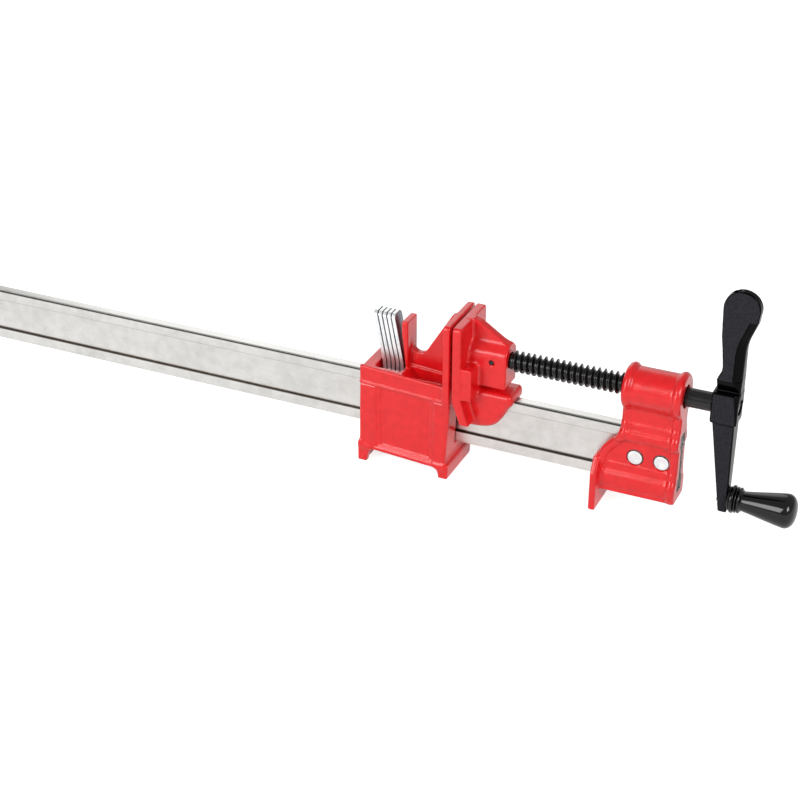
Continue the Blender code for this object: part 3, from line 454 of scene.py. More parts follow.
def head_section():
    """The casting's section under the barrel as y and z. Over the rail's lower flange it swells into a bulge
    with a ledge on it, and over the upper flange into a bulge of two steps that ends in a crease under the
    barrel. Each is given by shares of the reach of a bulge and of its own height."""
    low = rail_low.z - head_floor
    ridge, flange = rail_low.z + rail_flange + head_ridge_rise, rail_top - rail_flange
    crease = spindle_height - head_crease_drop
    out = head_bulge_half - head_web_half
    lower_shares = [(-1.96, 0.0), (0.32, 0.0), (0.82, 0.035), (1.07, 0.14), (1.13, 0.27), (1.13, 0.39),
                    (1.04, 0.49), (0.86, 0.565), (0.61, 0.63), (0.38, 0.69), (0.27, 0.76), (0.23, 0.86),
                    (0.20, 0.935), (0.02, 0.965), (0.0, 1.0)]
    upper_shares = [(-0.02, -0.06), (0.10, 0.0), (0.58, 0.03), (0.84, 0.09), (0.90, 0.17), (0.88, 0.24),
                    (0.80, 0.285), (0.60, 0.33), (0.40, 0.37), (0.32, 0.415), (0.33, 0.47), (0.29, 0.525),
                    (0.13, 0.575), (-0.03, 0.62), (-0.085, 0.67), (-0.09, 0.76), (-0.09, 0.88)]
    lower = spread(lower_shares, (head_web_half, low), (out, ridge - low))
    upper = spread(upper_shares, (head_web_half, flange), (out, crease - flange))
    neck = [(head_neck_half, crease), (head_neck_half, spindle_height)]
    return both_sides(np.concatenate([smooth_line(lower), smooth_line([*upper, *neck])]))


def head_left_edge():
    """The casting's left edge as x and z, from under the rail up to the barrel."""
    waist = head_foot_right + head_flare_run
    bottom = rail_low.z - head_floor
    flare_shares = [(0.0, 0.0), (0.0, 0.10), (0.04, 0.20), (0.11, 0.28), (0.20, 0.345), (0.33, 0.40),
                    (0.53, 0.455), (0.74, 0.505), (0.90, 0.555), (0.98, 0.62), (1.0, 0.71), (1.0, 1.0)]
    size = (waist - head_low.x, spindle_height - bottom)
    return smooth_line(spread(flare_shares, (head_low.x, bottom), size))


def head_shape(x, y, z):
    """Barrel and body in one section, cut by the side view, with a half-round roll along each edge, then
    the foot, the screw's bore, the rail's slot and the rivets' holes."""
    barrel = np.hypot(y, z - spindle_height) - head_barrel_radius
    section = either(barrel, flat_shape(y, z, head_section()), head_barrel_fillet)
    edge = head_left_edge()
    above, below, beyond = 2 * spindle_height, edge[0][1] - head_floor, 2 * head_end
    side = flat_shape(x, z, np.concatenate([
        edge, [(edge[-1][0], above), (beyond, above), (beyond, below), (edge[0][0], below)]]))
    body = both(section, side, casting_edge)
    rolled = section + head_roll_sunk
    left_roll = np.hypot(side + head_roll_radius, rolled) - head_roll_radius
    right_roll = np.hypot(x - head_end + head_roll_radius, rolled) - head_roll_radius
    foot_half = head_foot_width / 2
    foot_outline = both_sides([(foot_half - head_foot_edge, 0), (foot_half, head_foot_edge),
                               (foot_half, head_foot_shoulder), (head_bulge_half, head_foot_top)])
    foot = both(flat_shape(y, z, foot_outline), slab(x, head_low.x, head_foot_right), head_foot_edge)
    shape = either(either(body, left_roll, head_roll_fillet), right_roll, head_roll_fillet)
    shape = both(either(shape, foot, head_foot_fillet), slab(x, head_low.x, head_end), head_mouth_edge)
    shape = without(shape, np.hypot(y, z - spindle_height) - head_bore_radius, head_mouth_edge)
    for place in rivet_places:
        hole = np.hypot(x - place, z - rail_middle) - rivet_radius - slot_gap
        shape = without(shape, hole, head_mouth_edge)
    return without(shape, flat_shape(y, z, rail_section(slot_gap)) + 0 * x, slot_gap)


def head_bare(x, y, z):
    """The rail's slot with a rim round it, and the foot's sole."""
    slot = flat_shape(y, z, rail_section(head_bare_rim))
    return np.minimum(np.maximum(slot, head_end - head_roll_radius - x), z - slot_gap)


head = skin("head", head_shape, (head_low, head_high), red_finish)
leave(head, iron_finish, head_bare)
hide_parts("head_casting")
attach(head, "bar")


# Two cold-headed steel rivets, turned flush and plated bright, go through the head's web and the rail. Each
# keeps a faint dished ring from the turning tool, and its rim is painted dull grey as painted shade for the
# shadowed gap round the head. A plated cross pin at the rail's end stops the sliding jaw.

rivet_edge = 0.0006
rivet_dish = 0.0003
shaded_rim_share = 0.90
rivet_face_shares = [(1, 0.10), (1, 0.38), (0, 0.46), (0, 0.84), (0.5, 0.89)]
rivet_bevel_shares = [(2, 0.93), (2, 1.0)]
stop_low, stop_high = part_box("rail_end_stop")
stop_radius = (stop_high.x - stop_low.x) / 2


def turned(name, profile, start, along, material, around=48):
    """A turned piece: a profile of (distance along the axis, radius) from one end to the other, carried
    round an axis that runs from a start point along a direction, in as many steps as around says."""
    along = Vector(along).normalized()
    across = along.orthogonal().normalized()
    turn = np.array([along, across, along.cross(across)])
    profile = np.asarray(profile, float)
    angles = np.linspace(0, 2 * math.pi, around, endpoint=False)
    rings = np.stack(np.broadcast_arrays(
        profile[:, None, 0], profile[:, None, 1] * np.cos(angles), profile[:, None, 1] * np.sin(angles)
    ), axis=-1)
    return new_piece(name, *lofted(rings @ turn + np.array(start)), material)


def rod(length, radius, edge):
    """The profile of a round rod with a small chamfer at each end."""
    return [(0, radius - edge), (edge, radius), (length - edge, radius), (length, radius - edge)]


def zinc_plate():
    """Steel with a bright zinc plate over a ground surface: pale blue-grey, evenly bright, with a fine
    cloudy grain. Painted shade greys the faces that stand across the rail, where the plates shade each other."""
    cloud_size = 0.0050
    grain_size = 0.0009
    grain_depth = 0.00003
    material, tree, shader, place = new_finish("bright_zinc_plate")
    clouds = add(tree, "TexNoise", {"Vector": place, "Scale": 1 / cloud_size, "Detail": 4, "Roughness": 0.65})
    grain = add(tree, "TexNoise", {"Vector": place, "Scale": 1 / grain_size, "Detail": 2})
    colour = add(tree, "ValToRGB", {"Fac": clouds}, steps=[
        (0.32, "DADDDF"), (0.52, "E8EAEB"), (0.70, "F2F2F2")])
    rough = add(tree, "MapRange", {"Value": clouds, **noise_spread, "To Min": 0.32, "To Max": 0.46})
    bump = add(tree, "Bump", {"Height": grain, "Distance": grain_depth, "Strength": 0.5})
    # Painted shade: faces that stand across the rail turn grey.
    painted_shade = add(tree, "MapRange", {"Value": squareness(tree, "X"), "From Min": 0.45, "From Max": 0.80})
    shaded_zinc = add(tree, "Mix", {0: painted_shade, 6: colour, 7: linear("8B8D94")}, data_type="RGBA")
    give(tree, shader, {"Base Color": shaded_zinc, "Roughness": rough, "Metallic": 1.0, "Normal": bump})
    return material


zinc_finish = zinc_plate()


def shaded_rivet_rims(x, y, z):
    """The rims of the rivets' heads and their sides, painted darker as shade for the shadowed gap round each
    head.
    """
    left, right = (np.hypot(x - place, z - rail_middle) for place in rivet_places)
    return shaded_rim_share * rivet_radius - np.minimum(left, right)


for side, place in zip(rivet_sides, rivet_places):
    low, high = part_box("head_rivet_" + side)
    face = np.concatenate([spread(rivet_face_shares, (0, 0), (rivet_dish, rivet_radius)),
                           spread(rivet_bevel_shares, (0, 0), (rivet_edge, rivet_radius))])
    far_face = (high.y - low.y, 0) + face[::-1] * (-1, 1)
    ends = np.concatenate([face, far_face])
    rivet = turned("rivet_" + side, ends, (place, low.y, rail_middle), (0, 1, 0), zinc_finish)
    # The bare iron finish on the rims is painted shade.
    leave(rivet, iron_finish, shaded_rivet_rims)
    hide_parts("head_rivet_" + side)
    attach(rivet, "bar")

stop_profile = rod(stop_high.y - stop_low.y, stop_radius, rivet_edge)
stop_start = (stop_low.x + stop_radius, stop_low.y, rail_middle)
stop = turned("rail_stop", stop_profile, stop_start, (0, 1, 0), zinc_finish)
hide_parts("rail_end_stop")
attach(stop, "bar")


# The driven jaw is one iron casting in the head's red enamel: a broad jaw plate with a band across its
# back, a boss that holds the screw's tip, a rib up to the plate's top, and a saddle that rides on the rail's
# upper flange.

jaw_low, jaw_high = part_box("spindle_jaw")
jaw_face = jaw_low.x
jaw_width = jaw_high.y - jaw_low.y
jaw_skin = 0.0001
jaw_top = jaw_high.z
jaw_edge = 0.0013
jaw_plate_thickness = 0.0077
jaw_back = jaw_face + jaw_plate_thickness
jaw_root = jaw_face + jaw_plate_thickness / 2
jaw_plate_drop = 0.0204
jaw_chamfer_run = 0.0076
jaw_corner = 0.0040
jaw_band_thickness = 0.0092
jaw_band_edge = 0.0010
jaw_band_low = 0.0026
jaw_band_high = 0.0316
jaw_band_inset = 0.0012
jaw_boss_width = 0.0242
jaw_boss_length = 0.0337
jaw_boss_end = jaw_back + jaw_boss_length
jaw_boss_above = 0.0125
jaw_boss_below = 0.0225
jaw_boss_round = 0.0078
jaw_boss_fillet = 0.0026
jaw_rib_thickness = 0.0074
jaw_rib_edge = 0.0009
jaw_rib_fillet = 0.0060
jaw_rib_shoulder = 0.0072
jaw_rib_drop = 0.0022
jaw_rib_foot = 0.0134
jaw_neck_width = 0.0090
jaw_neck_fillet = 0.0010
jaw_saddle_width = 0.0284
jaw_saddle_drop = 0.0268
jaw_saddle_rise = 0.0080
jaw_saddle_low = rail_top - jaw_saddle_drop
jaw_saddle_high = rail_top + jaw_saddle_rise
jaw_saddle_end = jaw_high.x
jaw_saddle_round = 0.0046
jaw_saddle_fillet = 0.0022
jaw_slide_gap = 0.0004
jaw_bore_radius = 0.0068
jaw_bore_depth = 0.0266
jaw_pin_radius = 0.0021
jaw_pin_place = sum(corner.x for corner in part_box("jaw_pin_front")) / 2


def spindle_jaw_shape(x, y, z):
    """The plate, band, boss, rib, neck and saddle joined with fillets, then the rail's slot and the bores.
    A fillet between two shapes that end in one plane swells past it, so the plane cuts it off again."""
    plate_foot, half = rail_top - jaw_plate_drop, jaw_width / 2 - jaw_skin
    start = jaw_face + jaw_chamfer_run
    plate_side = [(jaw_face, rail_top), (start, plate_foot), (jaw_back + jaw_chamfer_run, plate_foot),
                  (jaw_back, rail_top + jaw_band_low), (jaw_back, jaw_top), (jaw_face, jaw_top)]
    front = both(slab(y, -half, half), z - jaw_top, jaw_corner)
    plate = both(flat_shape(x, z, plate_side), front, jaw_edge)
    band_half = half - jaw_band_inset
    band = block(x, y, z, (jaw_root, -band_half, rail_top + jaw_band_low),
                 (jaw_back + jaw_band_thickness, band_half, rail_top + jaw_band_high), jaw_band_edge)
    boss_half, boss_top = jaw_boss_width / 2, spindle_height + jaw_boss_above
    boss_section = both_sides(np.concatenate([
        [(boss_half, spindle_height - jaw_boss_below)],
        arc((boss_half - jaw_boss_round, boss_top - jaw_boss_round), jaw_boss_round, 0, 90, 8)]))
    boss = both(flat_shape(y, z, boss_section), slab(x, jaw_root, jaw_boss_end), jaw_edge)
    rib_side = [(jaw_root, spindle_height), (jaw_boss_end, spindle_height),
                (jaw_boss_end, spindle_height + jaw_rib_foot),
                (jaw_back + jaw_rib_shoulder, jaw_top - jaw_rib_drop), (jaw_back, jaw_top),
                (jaw_root, jaw_top)]
    rib_half = jaw_rib_thickness / 2
    rib = both(flat_shape(x, z, rib_side), slab(y, -rib_half, rib_half), jaw_rib_edge)
    run, rise = jaw_saddle_end - start, jaw_saddle_high - jaw_saddle_low
    sweep_shares = [(0.0, 0.05), (0.09, 0.0), (0.40, 0.03), (0.62, 0.13), (0.78, 0.34), (0.90, 0.60),
                    (1.0, 0.76), (1.0, 0.92), (0.95, 1.0)]
    sweep = smooth_line(spread(sweep_shares, (start, jaw_saddle_low), (run, rise)))
    saddle_side = flat_shape(x, z, np.concatenate([sweep, [(start, jaw_saddle_high)]]))
    saddle_half = jaw_saddle_width / 2
    saddle = both(saddle_side, slab(y, -saddle_half, saddle_half), jaw_saddle_round)
    neck_half = jaw_neck_width / 2
    neck = block(x, y, z, (jaw_root, -neck_half, jaw_saddle_high - jaw_saddle_round),
                 (jaw_boss_end - jaw_saddle_round, neck_half, spindle_height - jaw_boss_below / 2), jaw_edge)
    shape = either(plate, band, jaw_band_edge)
    boss_and_rib = np.maximum(either(boss, rib, jaw_rib_fillet), x - jaw_boss_end)
    shape = np.maximum(either(shape, boss_and_rib, jaw_boss_fillet), z - jaw_top)
    shape = either(either(shape, neck, jaw_neck_fillet), saddle, jaw_saddle_fillet)
    slot = flat_shape(y, z, rail_section(jaw_slide_gap)) + 0 * x
    bore_end = jaw_boss_end - jaw_bore_depth
    bore = both(np.hypot(y, z - spindle_height) - jaw_bore_radius, bore_end - x, slot_gap)
    pin_hole = np.hypot(x - jaw_pin_place, z - spindle_height) - jaw_pin_radius - slot_gap
    for cut in (slot, bore, pin_hole):
        shape = without(shape, cut, jaw_slide_gap)
    return shape


def spindle_jaw_bare(x, y, z):
    """The walls of the rail's slot, with the rounding of its mouth."""
    return flat_shape(y, z, rail_section(2 * jaw_slide_gap))


spindle_jaw = skin("driven_jaw", spindle_jaw_shape, (jaw_low, jaw_high), red_finish)
leave(spindle_jaw, iron_finish, spindle_jaw_bare)
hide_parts("spindle_jaw")
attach(spindle_jaw, "spindle_jaw")


# The screw is a blackened steel bar with a rolled trapezoidal thread, five turns to the inch. Its plain
# shank carries the crank, and its tip turns in the driven jaw, held by two short pins in a groove.

thread_radius = 0.0091
thread_pitch = 0.00508
thread_depth = 0.0030
thread_flank_share = 0.27
thread_crest_share = 0.16
thread_run_out = 0.0030
thread_inset = 0.0058
shank_radius = 0.0078
screw_neck_radius = 0.0063
groove_radius = 0.0043
groove_half = 0.0029
screw_end_edge = 0.0012
spigot_radius = 0.0060
hub_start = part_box("crank")[0].x
screw_clearance = 0.0003
thread_start = jaw_boss_end + screw_clearance
thread_end = head_end - thread_inset
thread_steps, turn_steps = 860, 40


def black_oxide():
    """Steel blackened in hot salts and oiled: near black, softly clouded with brown, with an oily gloss over
    a fine grain."""
    cloud_size = 0.0080
    grain_size = 0.0007
    grain_depth = 0.00003
    material, tree, shader, place = new_finish("oiled_black_oxide")
    clouds = add(tree, "TexNoise", {"Vector": place, "Scale": 1 / cloud_size, "Detail": 3})
    grain = add(tree, "TexNoise", {"Vector": place, "Scale": 1 / grain_size, "Detail": 2})
    colour = add(tree, "ValToRGB", {"Fac": clouds}, steps=[
        (0.35, "0C0B0C"), (0.55, "121112"), (0.75, "1B1817")])
    rough = add(tree, "MapRange", {"Value": grain, **noise_spread, "To Min": 0.16, "To Max": 0.26})
    bump = add(tree, "Bump", {"Height": grain, "Distance": grain_depth, "Strength": 0.5})
    give(tree, shader, {"Base Color": colour, "Roughness": rough, "Metallic": 0.15, "Normal": bump})
    return material


black_steel = black_oxide()


def screw_radius(x, turn):
    """The screw's radius at a place along it and a turn round it. On the threaded stretch it follows a
    right-handed trapezoid: root, flank, crest, flank, with the depth fading out at both ends."""
    place = (x / thread_pitch - turn / (2 * math.pi)) % 1.0
    fall = np.clip((np.abs(place - 0.5) - thread_crest_share / 2) / thread_flank_share, 0, 1)
    fade = np.clip(np.minimum(x - thread_start, thread_end - x) / thread_run_out, 0, 1)
    return thread_radius - thread_depth + thread_depth * (1 - fall) * fade


tip = [(screw_low.x, screw_neck_radius - screw_end_edge), (screw_low.x + screw_end_edge, screw_neck_radius)]
tip += [(jaw_pin_place - groove_half, screw_neck_radius), (jaw_pin_place - groove_half, groove_radius),
        (jaw_pin_place + groove_half, groove_radius), (jaw_pin_place + groove_half, screw_neck_radius)]
tail = [(thread_end + screw_clearance, shank_radius), (hub_start - screw_clearance, shank_radius),
        (hub_start - screw_clearance, spigot_radius), (screw_high.x - screw_end_edge / 2, spigot_radius),
        (screw_high.x, spigot_radius - screw_end_edge / 2)]
tip_x, tip_radii = np.transpose(tip)
tail_x, tail_radii = np.transpose(tail)
threaded_x = np.linspace(thread_start, thread_end, thread_steps)
turns = np.linspace(0, 2 * math.pi, turn_steps, endpoint=False)
screw_x = np.concatenate([tip_x, threaded_x, tail_x])
screw_radii = np.concatenate([
    np.repeat(tip_radii[:, None], turn_steps, axis=1),
    screw_radius(threaded_x[:, None], turns),
    np.repeat(tail_radii[:, None], turn_steps, axis=1),
])
screw_rings = np.stack(np.broadcast_arrays(
    screw_x[:, None], screw_radii * np.cos(turns), screw_radii * np.sin(turns) + spindle_height), axis=-1)
screw = new_piece("screw", *lofted(screw_rings), black_steel)
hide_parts("spindle")
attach(screw, "screw")

pin_edge = 0.0004
pin_steps = 32
for side in ("front", "back"):
    low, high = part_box("jaw_pin_" + side)
    start = (jaw_pin_place, low.y, spindle_height)
    profile = rod(high.y - low.y, jaw_pin_radius, pin_edge)
    pin = turned("jaw_pin_in_" + side, profile, start, (0, 1, 0), black_steel, pin_steps)
    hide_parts("jaw_pin_" + side)
    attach(pin, "spindle_jaw")


# The crank is a casting in black enamel: a hub pinned on the screw, a flat finger paddle above with its
# right corner bevelled, and an arm below that carries the grip.

crank_low, crank_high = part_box("crank")
crank_step = 0.0006
crank_edge = 0.0012
crank_fillet = 0.0010
hub_length = 0.0216
hub_end = crank_low.x + hub_length
hub_half_height = 0.0136
hub_half_width = 0.0095
hub_low = spindle_height - hub_half_height
hub_high = spindle_height + hub_half_height
hub_edge = 0.0018
hub_bevel_share = 0.6
paddle_radius = 0.0146
paddle_reach = 0.0158
paddle_centre = (crank_low.x + paddle_reach, crank_high.z - paddle_radius)
paddle_root_rise = 0.0245
paddle_root = spindle_height + paddle_root_rise
paddle_root_inset = 0.0026
paddle_root_left = crank_low.x + paddle_root_inset
paddle_stem_inset = 0.0060
paddle_lean = paddle_stem_inset - paddle_root_inset
paddle_half = 0.0035
paddle_root_half = 0.0090
bevel_width = 0.0062
bevel_drop = 0.0088
bevel_top = paddle_centre[1] - bevel_drop
bevel_run = 0.0008
waist_half = 0.0040
waist_slope = 0.0056
arm_root_inset = 0.0022
arm_root_width = 0.0178
arm_root_half = 0.0083
arm_tip_inset = 0.0128
arm_tip_width = 0.0072
arm_tip_half = 0.0046
arm_taper_end_share = 1.2
grip_low, grip_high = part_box("grip")
grip_height = (grip_low.z + grip_high.z) / 2
axle_low, axle_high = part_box("grip_axle")
axle_radius = 0.0031
axle_head_radius = (axle_high.z - axle_low.z) / 2
axle_head_height = 0.0018
axle_gap = 0.0003
crank_pin_low, crank_pin_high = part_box("crank_pin")
crank_pin_radius = (crank_pin_high.x - crank_pin_low.x) / 2
crank_pin_place = (crank_pin_low.x + crank_pin_high.x) / 2


def black_enamel():
    """Black enamel on a smooth casting with a faint orange peel: deep black and glossy, but duller on the
    broad faces across Y, which also get a lighter grey base as painted light."""
    peel_size = 0.0018
    peel_depth = 0.00004
    material, tree, shader, place = new_finish("black_enamel_on_casting")
    peel = add(tree, "TexNoise", {"Vector": place, "Scale": 1 / peel_size, "Detail": 2})
    colour = add(tree, "ValToRGB", {"Fac": peel}, steps=[(0.35, "252529"), (0.65, "2D2D32")])
    # Faces that stand across Y get a lighter grey as painted light, the rest a deep black.
    flat = add(tree, "MapRange", {"Value": squareness(tree, "Y"), "From Min": 0.95, "From Max": 0.98})
    deep = add(tree, "Mix", {0: flat, 6: linear("020203"), 7: colour}, data_type="RGBA")
    rough = add(tree, "MapRange", {"Value": flat, "To Min": 0.16, "To Max": 0.42})
    bump = add(tree, "Bump", {"Height": peel, "Distance": peel_depth, "Strength": 0.6})
    give(tree, shader, {"Base Color": deep, "Roughness": rough, "Specular IOR Level": 0.06, "Normal": bump})
    return material


enamel_finish = black_enamel()


def crank_shape(x, y, z):
    """The hub block, the tapered arm, and the paddle over its recessed waist, joined with small fillets.
    The front right corner is cut by a plane at 45 degrees that runs along the side view's right edge from
    under the paddle's disc. Then come the holes for the screw, the pin, the axle and the axle's head."""
    up = np.clip((z - crank_low.z) / (hub_low - crank_low.z), 0, arm_taper_end_share)
    arm_left = crank_low.x + arm_tip_inset + (arm_root_inset - arm_tip_inset) * up
    arm_right = arm_left + arm_tip_width + (arm_root_width - arm_tip_width) * up
    arm_half = arm_tip_half + (arm_root_half - arm_tip_half) * up
    arm = block(x, y, z, (arm_left, -arm_half, crank_low.z), (arm_right, arm_half, spindle_height),
                crank_edge)
    hub = block(x, y, z, (crank_low.x, -hub_half_width, hub_low), (hub_end, hub_half_width, hub_high),
                hub_edge)
    rise, swell_run = paddle_centre[1] - paddle_root, paddle_centre[0] + paddle_radius - hub_end
    swell_shares = [(0.0, 0.0), (0.0, 0.30), (0.03, 0.44), (0.18, 0.56), (0.50, 0.69), (0.86, 0.83)]
    stem_shares = [(0.0, 0.60), (0.45, 0.44), (1.0, 0.20), (0.92, 0.13), (0.25, 0.05), (0.0, 0.0)]
    swell = smooth_line(spread(swell_shares, (hub_end, paddle_root), (swell_run, rise)))
    stem = spread(stem_shares, (paddle_root_left, paddle_root), (paddle_lean, rise))
    outline = np.concatenate([swell, arc(paddle_centre, paddle_radius, -6, 184, 24), stem])
    share = np.clip((z - paddle_root) / (crank_high.z - paddle_root), 0, 1)
    half = paddle_root_half + (paddle_half - paddle_root_half) * share
    paddle = both(flat_shape(x, z, outline), np.abs(y) - half, crank_fillet)
    recess = waist_half + waist_slope * np.clip((z - hub_high) / hub_half_height, 0, 1)
    waist = both(slab(x, paddle_root_left, hub_end), -y - recess, crank_fillet)
    waist_ends = np.maximum(y - paddle_root_half, slab(z, spindle_height, paddle_root + crank_edge))
    waist = both(waist, waist_ends, crank_fillet)
    shape = either(either(hub, arm, crank_fillet), waist, crank_fillet)
    shape = either(shape, paddle, crank_fillet / 2)
    right = np.interp(z, [hub_low, paddle_root, *swell[:, 1]], [hub_end, hub_end, *swell[:, 0]])
    face = np.where(z < paddle_root, hub_half_width, half)
    growth = np.interp(z, [hub_low, hub_high, paddle_root], [0, hub_bevel_share, 1])
    width = bevel_width * np.minimum(growth, np.clip((bevel_top - z) / bevel_run, 0, 1))
    bevelled = both(shape, (x - right - y - face + width) / math.sqrt(2), crank_fillet)
    shape = np.where((z < bevel_top) & (z > hub_low), bevelled, shape)
    axle = np.hypot(y, z - grip_height)
    cuts = [
        np.hypot(y, z - spindle_height) - spigot_radius - screw_clearance + 0 * x,
        both(np.hypot(x - crank_pin_place, y) - crank_pin_radius - axle_gap, spindle_height - z, axle_gap),
        axle - axle_radius - axle_gap + 0 * x,
        both(axle - axle_head_radius - axle_gap, x - axle_low.x - axle_head_height - axle_gap, axle_gap),
    ]
    for cut in cuts:
        shape = without(shape, cut, axle_gap)
    return shape


crank = skin("crank_handle", crank_shape, (crank_low, crank_high), enamel_finish, crank_step)
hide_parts("crank")
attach(crank, "screw")

# The pin's upper end has the wider chamfer of the two.
crank_pin_length = crank_pin_high.z - crank_pin_low.z
crank_pin_start = (crank_pin_place, 0, crank_pin_low.z)
crank_pin_profile = rod(crank_pin_length, crank_pin_radius, pin_edge)
crank_pin_profile[-1] = (crank_pin_length, crank_pin_radius - 2 * pin_edge)
crank_pin = turned("hub_pin", crank_pin_profile, crank_pin_start, (0, 0, 1), black_steel, pin_steps)
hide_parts("crank_pin")
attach(crank_pin, "screw")


# The grip is a turned and polished black knob with a collar and two beads at its neck. It spins on a headed
# steel axle, and a plain washer keeps it off the crank's arm.

grip_radius = (grip_high.z - grip_low.z) / 2
grip_length = grip_high.x - grip_low.x
grip_collar = 0.0114
grip_steps = 72


def polished_black():
    """A polished black moulding: smooth and deep, with a clear mirror gloss and very slight ripples."""
    ripple_size = 0.012
    ripple_depth = 0.00008
    speck_size = 0.0010
    material, tree, shader, place = new_finish("polished_black_phenolic")
    ripple = add(tree, "TexNoise", {"Vector": place, "Scale": 1 / ripple_size, "Detail": 1})
    specks = add(tree, "TexNoise", {"Vector": place, "Scale": 1 / speck_size, "Detail": 2})
    colour = add(tree, "ValToRGB", {"Fac": specks}, steps=[(0.40, "040406"), (0.70, "08080A")])
    rough = add(tree, "MapRange", {"Value": specks, **noise_spread, "To Min": 0.06, "To Max": 0.10})
    bump = add(tree, "Bump", {"Height": ripple, "Distance": ripple_depth, "Strength": 0.4})
    give(tree, shader, {"Base Color": colour, "Roughness": rough, "Specular IOR Level": 0.40, "Normal": bump})
    return material


# Each place along the grip with the radius there, at the neck as shares of the collar's radius, then over
# the body as shares of the grip's.
neck_shares = [
    (0.000, 0.86), (0.000, 0.95), (0.012, 1.00), (0.042, 1.00), (0.054, 0.93), (0.060, 0.82), (0.066, 0.82),
    (0.072, 0.92), (0.083, 0.96), (0.094, 0.92), (0.100, 0.81), (0.106, 0.81), (0.114, 0.90), (0.128, 0.94),
    (0.146, 0.90), (0.162, 0.79), (0.174, 0.735)]
body_shares = [
    (0.190, 0.585), (0.300, 0.650), (0.450, 0.755), (0.600, 0.860), (0.700, 0.928), (0.770, 0.972),
    (0.820, 0.996), (0.850, 1.00), (0.885, 0.970), (0.920, 0.895), (0.950, 0.780), (0.975, 0.610),
    (0.990, 0.410), (0.998, 0.200), (1.000, 0.030)]
grip_profile = smooth_line([
    *spread(neck_shares, (0, 0), (grip_length, grip_collar)),
    *spread(body_shares, (0, 0), (grip_length, grip_radius))])
grip_profile[:, 0] = np.maximum.accumulate(grip_profile[:, 0])
grip_start = (grip_low.x, 0, grip_height)
grip = turned("knob", grip_profile, grip_start, (1, 0, 0), polished_black(), grip_steps)
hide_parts("grip")
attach(grip, "grip")

axle_profile = [
    (0, axle_head_radius - pin_edge), (pin_edge, axle_head_radius), (axle_head_height, axle_head_radius),
    (axle_head_height, axle_radius), *rod(axle_high.x - axle_low.x, axle_radius, pin_edge)[2:]]
washer_low, washer_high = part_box("grip_washer")
washer_radius = (washer_high.z - washer_low.z) / 2 - pin_edge
washer_end = washer_high.x - washer_low.x
washer_steps = 40
washer_profile = [
    (0, axle_radius), (0, washer_radius - pin_edge), (pin_edge, washer_radius),
    (washer_end - pin_edge, washer_radius), (washer_end, washer_radius - 2 * pin_edge),
    (washer_end, axle_radius)]
for name, node, start, profile, steps in (
    ("grip_pivot", "grip_axle", axle_low, axle_profile, pin_steps),
    ("bearing_washer", "grip_washer", washer_low, washer_profile, washer_steps),
):
    piece = turned(name, profile, (start.x, 0, grip_height), (1, 0, 0), black_steel, steps)
    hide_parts(node)
    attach(piece, "screw")


# The sliding jaw is a red box casting with four feet. It has a flat jaw plate, a gusset behind it with a
# finger notch, and a horn that the thumb presses against to free the clutch plates.

box_low, box_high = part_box("sliding_jaw")
box_step = 0.0008
box_right = box_high.x
box_length = 0.0830
box_left = box_right - box_length
box_half = 0.0250
box_edge = 0.0013
box_mouth_edge = 0.0010
box_rake = 0.0054
box_top_rise = 0.0152
box_underside = 0.0135
box_lean = 0.0040
box_left_lean = 0.0011
box_wall = 0.0042
box_end_wall = 0.0046
box_deck = 0.0060
box_panel_depth = 0.0012
box_panel_edge = 0.0005
box_panel_corner = 0.0016
box_stile = 0.0150
box_inner_stile = 0.0036
box_inner_depth = 0.0010
box_ledge = 0.0055
box_panel_rise = 0.0565
box_slot_gap = 0.0012
bead_radius = 0.0013
bead_groove_radius = 0.0009
bead_groove_drop = 0.0019
bead_sunk = 0.0001
bead_drop_share = 0.72
foot_length = 0.0082
foot_half_width = 0.0260
skirt_rise = 0.0036
skirt_edge = 0.0008
foot_rise = 0.0200
foot_sweep = 0.0048
foot_reach = 0.0022
foot_fillet = 0.0024
right_foot_share = 0.56
face_top = box_high.z
face_thickness = 0.0064
face_left = box_right - face_thickness
face_half = box_high.y - jaw_skin
face_corner = 0.0040
mouth_left_inset = 0.0105
mouth_right_inset = 0.0353
mouth_left = box_left + mouth_left_inset
mouth_right = box_left + mouth_right_inset
mouth_half = 0.0170
mouth_corner = 0.0030
horn_root_thickness = 0.0024
horn_top_thickness = 0.0058
horn_right = mouth_right + horn_root_thickness
horn_left = horn_right - horn_top_thickness
horn_half = 0.0100
horn_rise = 0.0556
horn_kick_rise = 0.0440
horn_top = rail_top + horn_rise
horn_kick = rail_top + horn_kick_rise
horn_edge = 0.0013
horn_fillet = 0.0020
notch_radius = 0.0072
notch_reach = 0.0080
notch_rise = 0.0258
notch_centre = (horn_right + notch_reach, rail_top + notch_rise + notch_radius)
notch_end_degrees = -175
gusset_half = 0.0031
gusset_edge = 0.0008
gusset_slope = 1.64
gusset_drop = 0.0012
gusset_top = face_top - gusset_drop
gusset_fillet = 0.0012
spine_half = 0.0048
spine_rise = 0.0006
spine_edge = 0.0007
well_wall = 0.0034
well_half = box_half - well_wall
well_gap = 0.0010
well_start = horn_right + well_gap
well_step = 0.0040
well_corner = 0.0014
well_floor_rise = 0.0012
well_floor = rail_top + well_floor_rise
spring_low, spring_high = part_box("clutch_spring")
spring_middle = (spring_low.z + spring_high.z) / 2
spring_radius = (spring_high.z - spring_low.z) / 2


def box_fall(x):
    """How far the box's rim and underside have dropped at a place, on their way to the jaw plate."""
    return box_rake * (x - box_left) / (box_right - box_left)


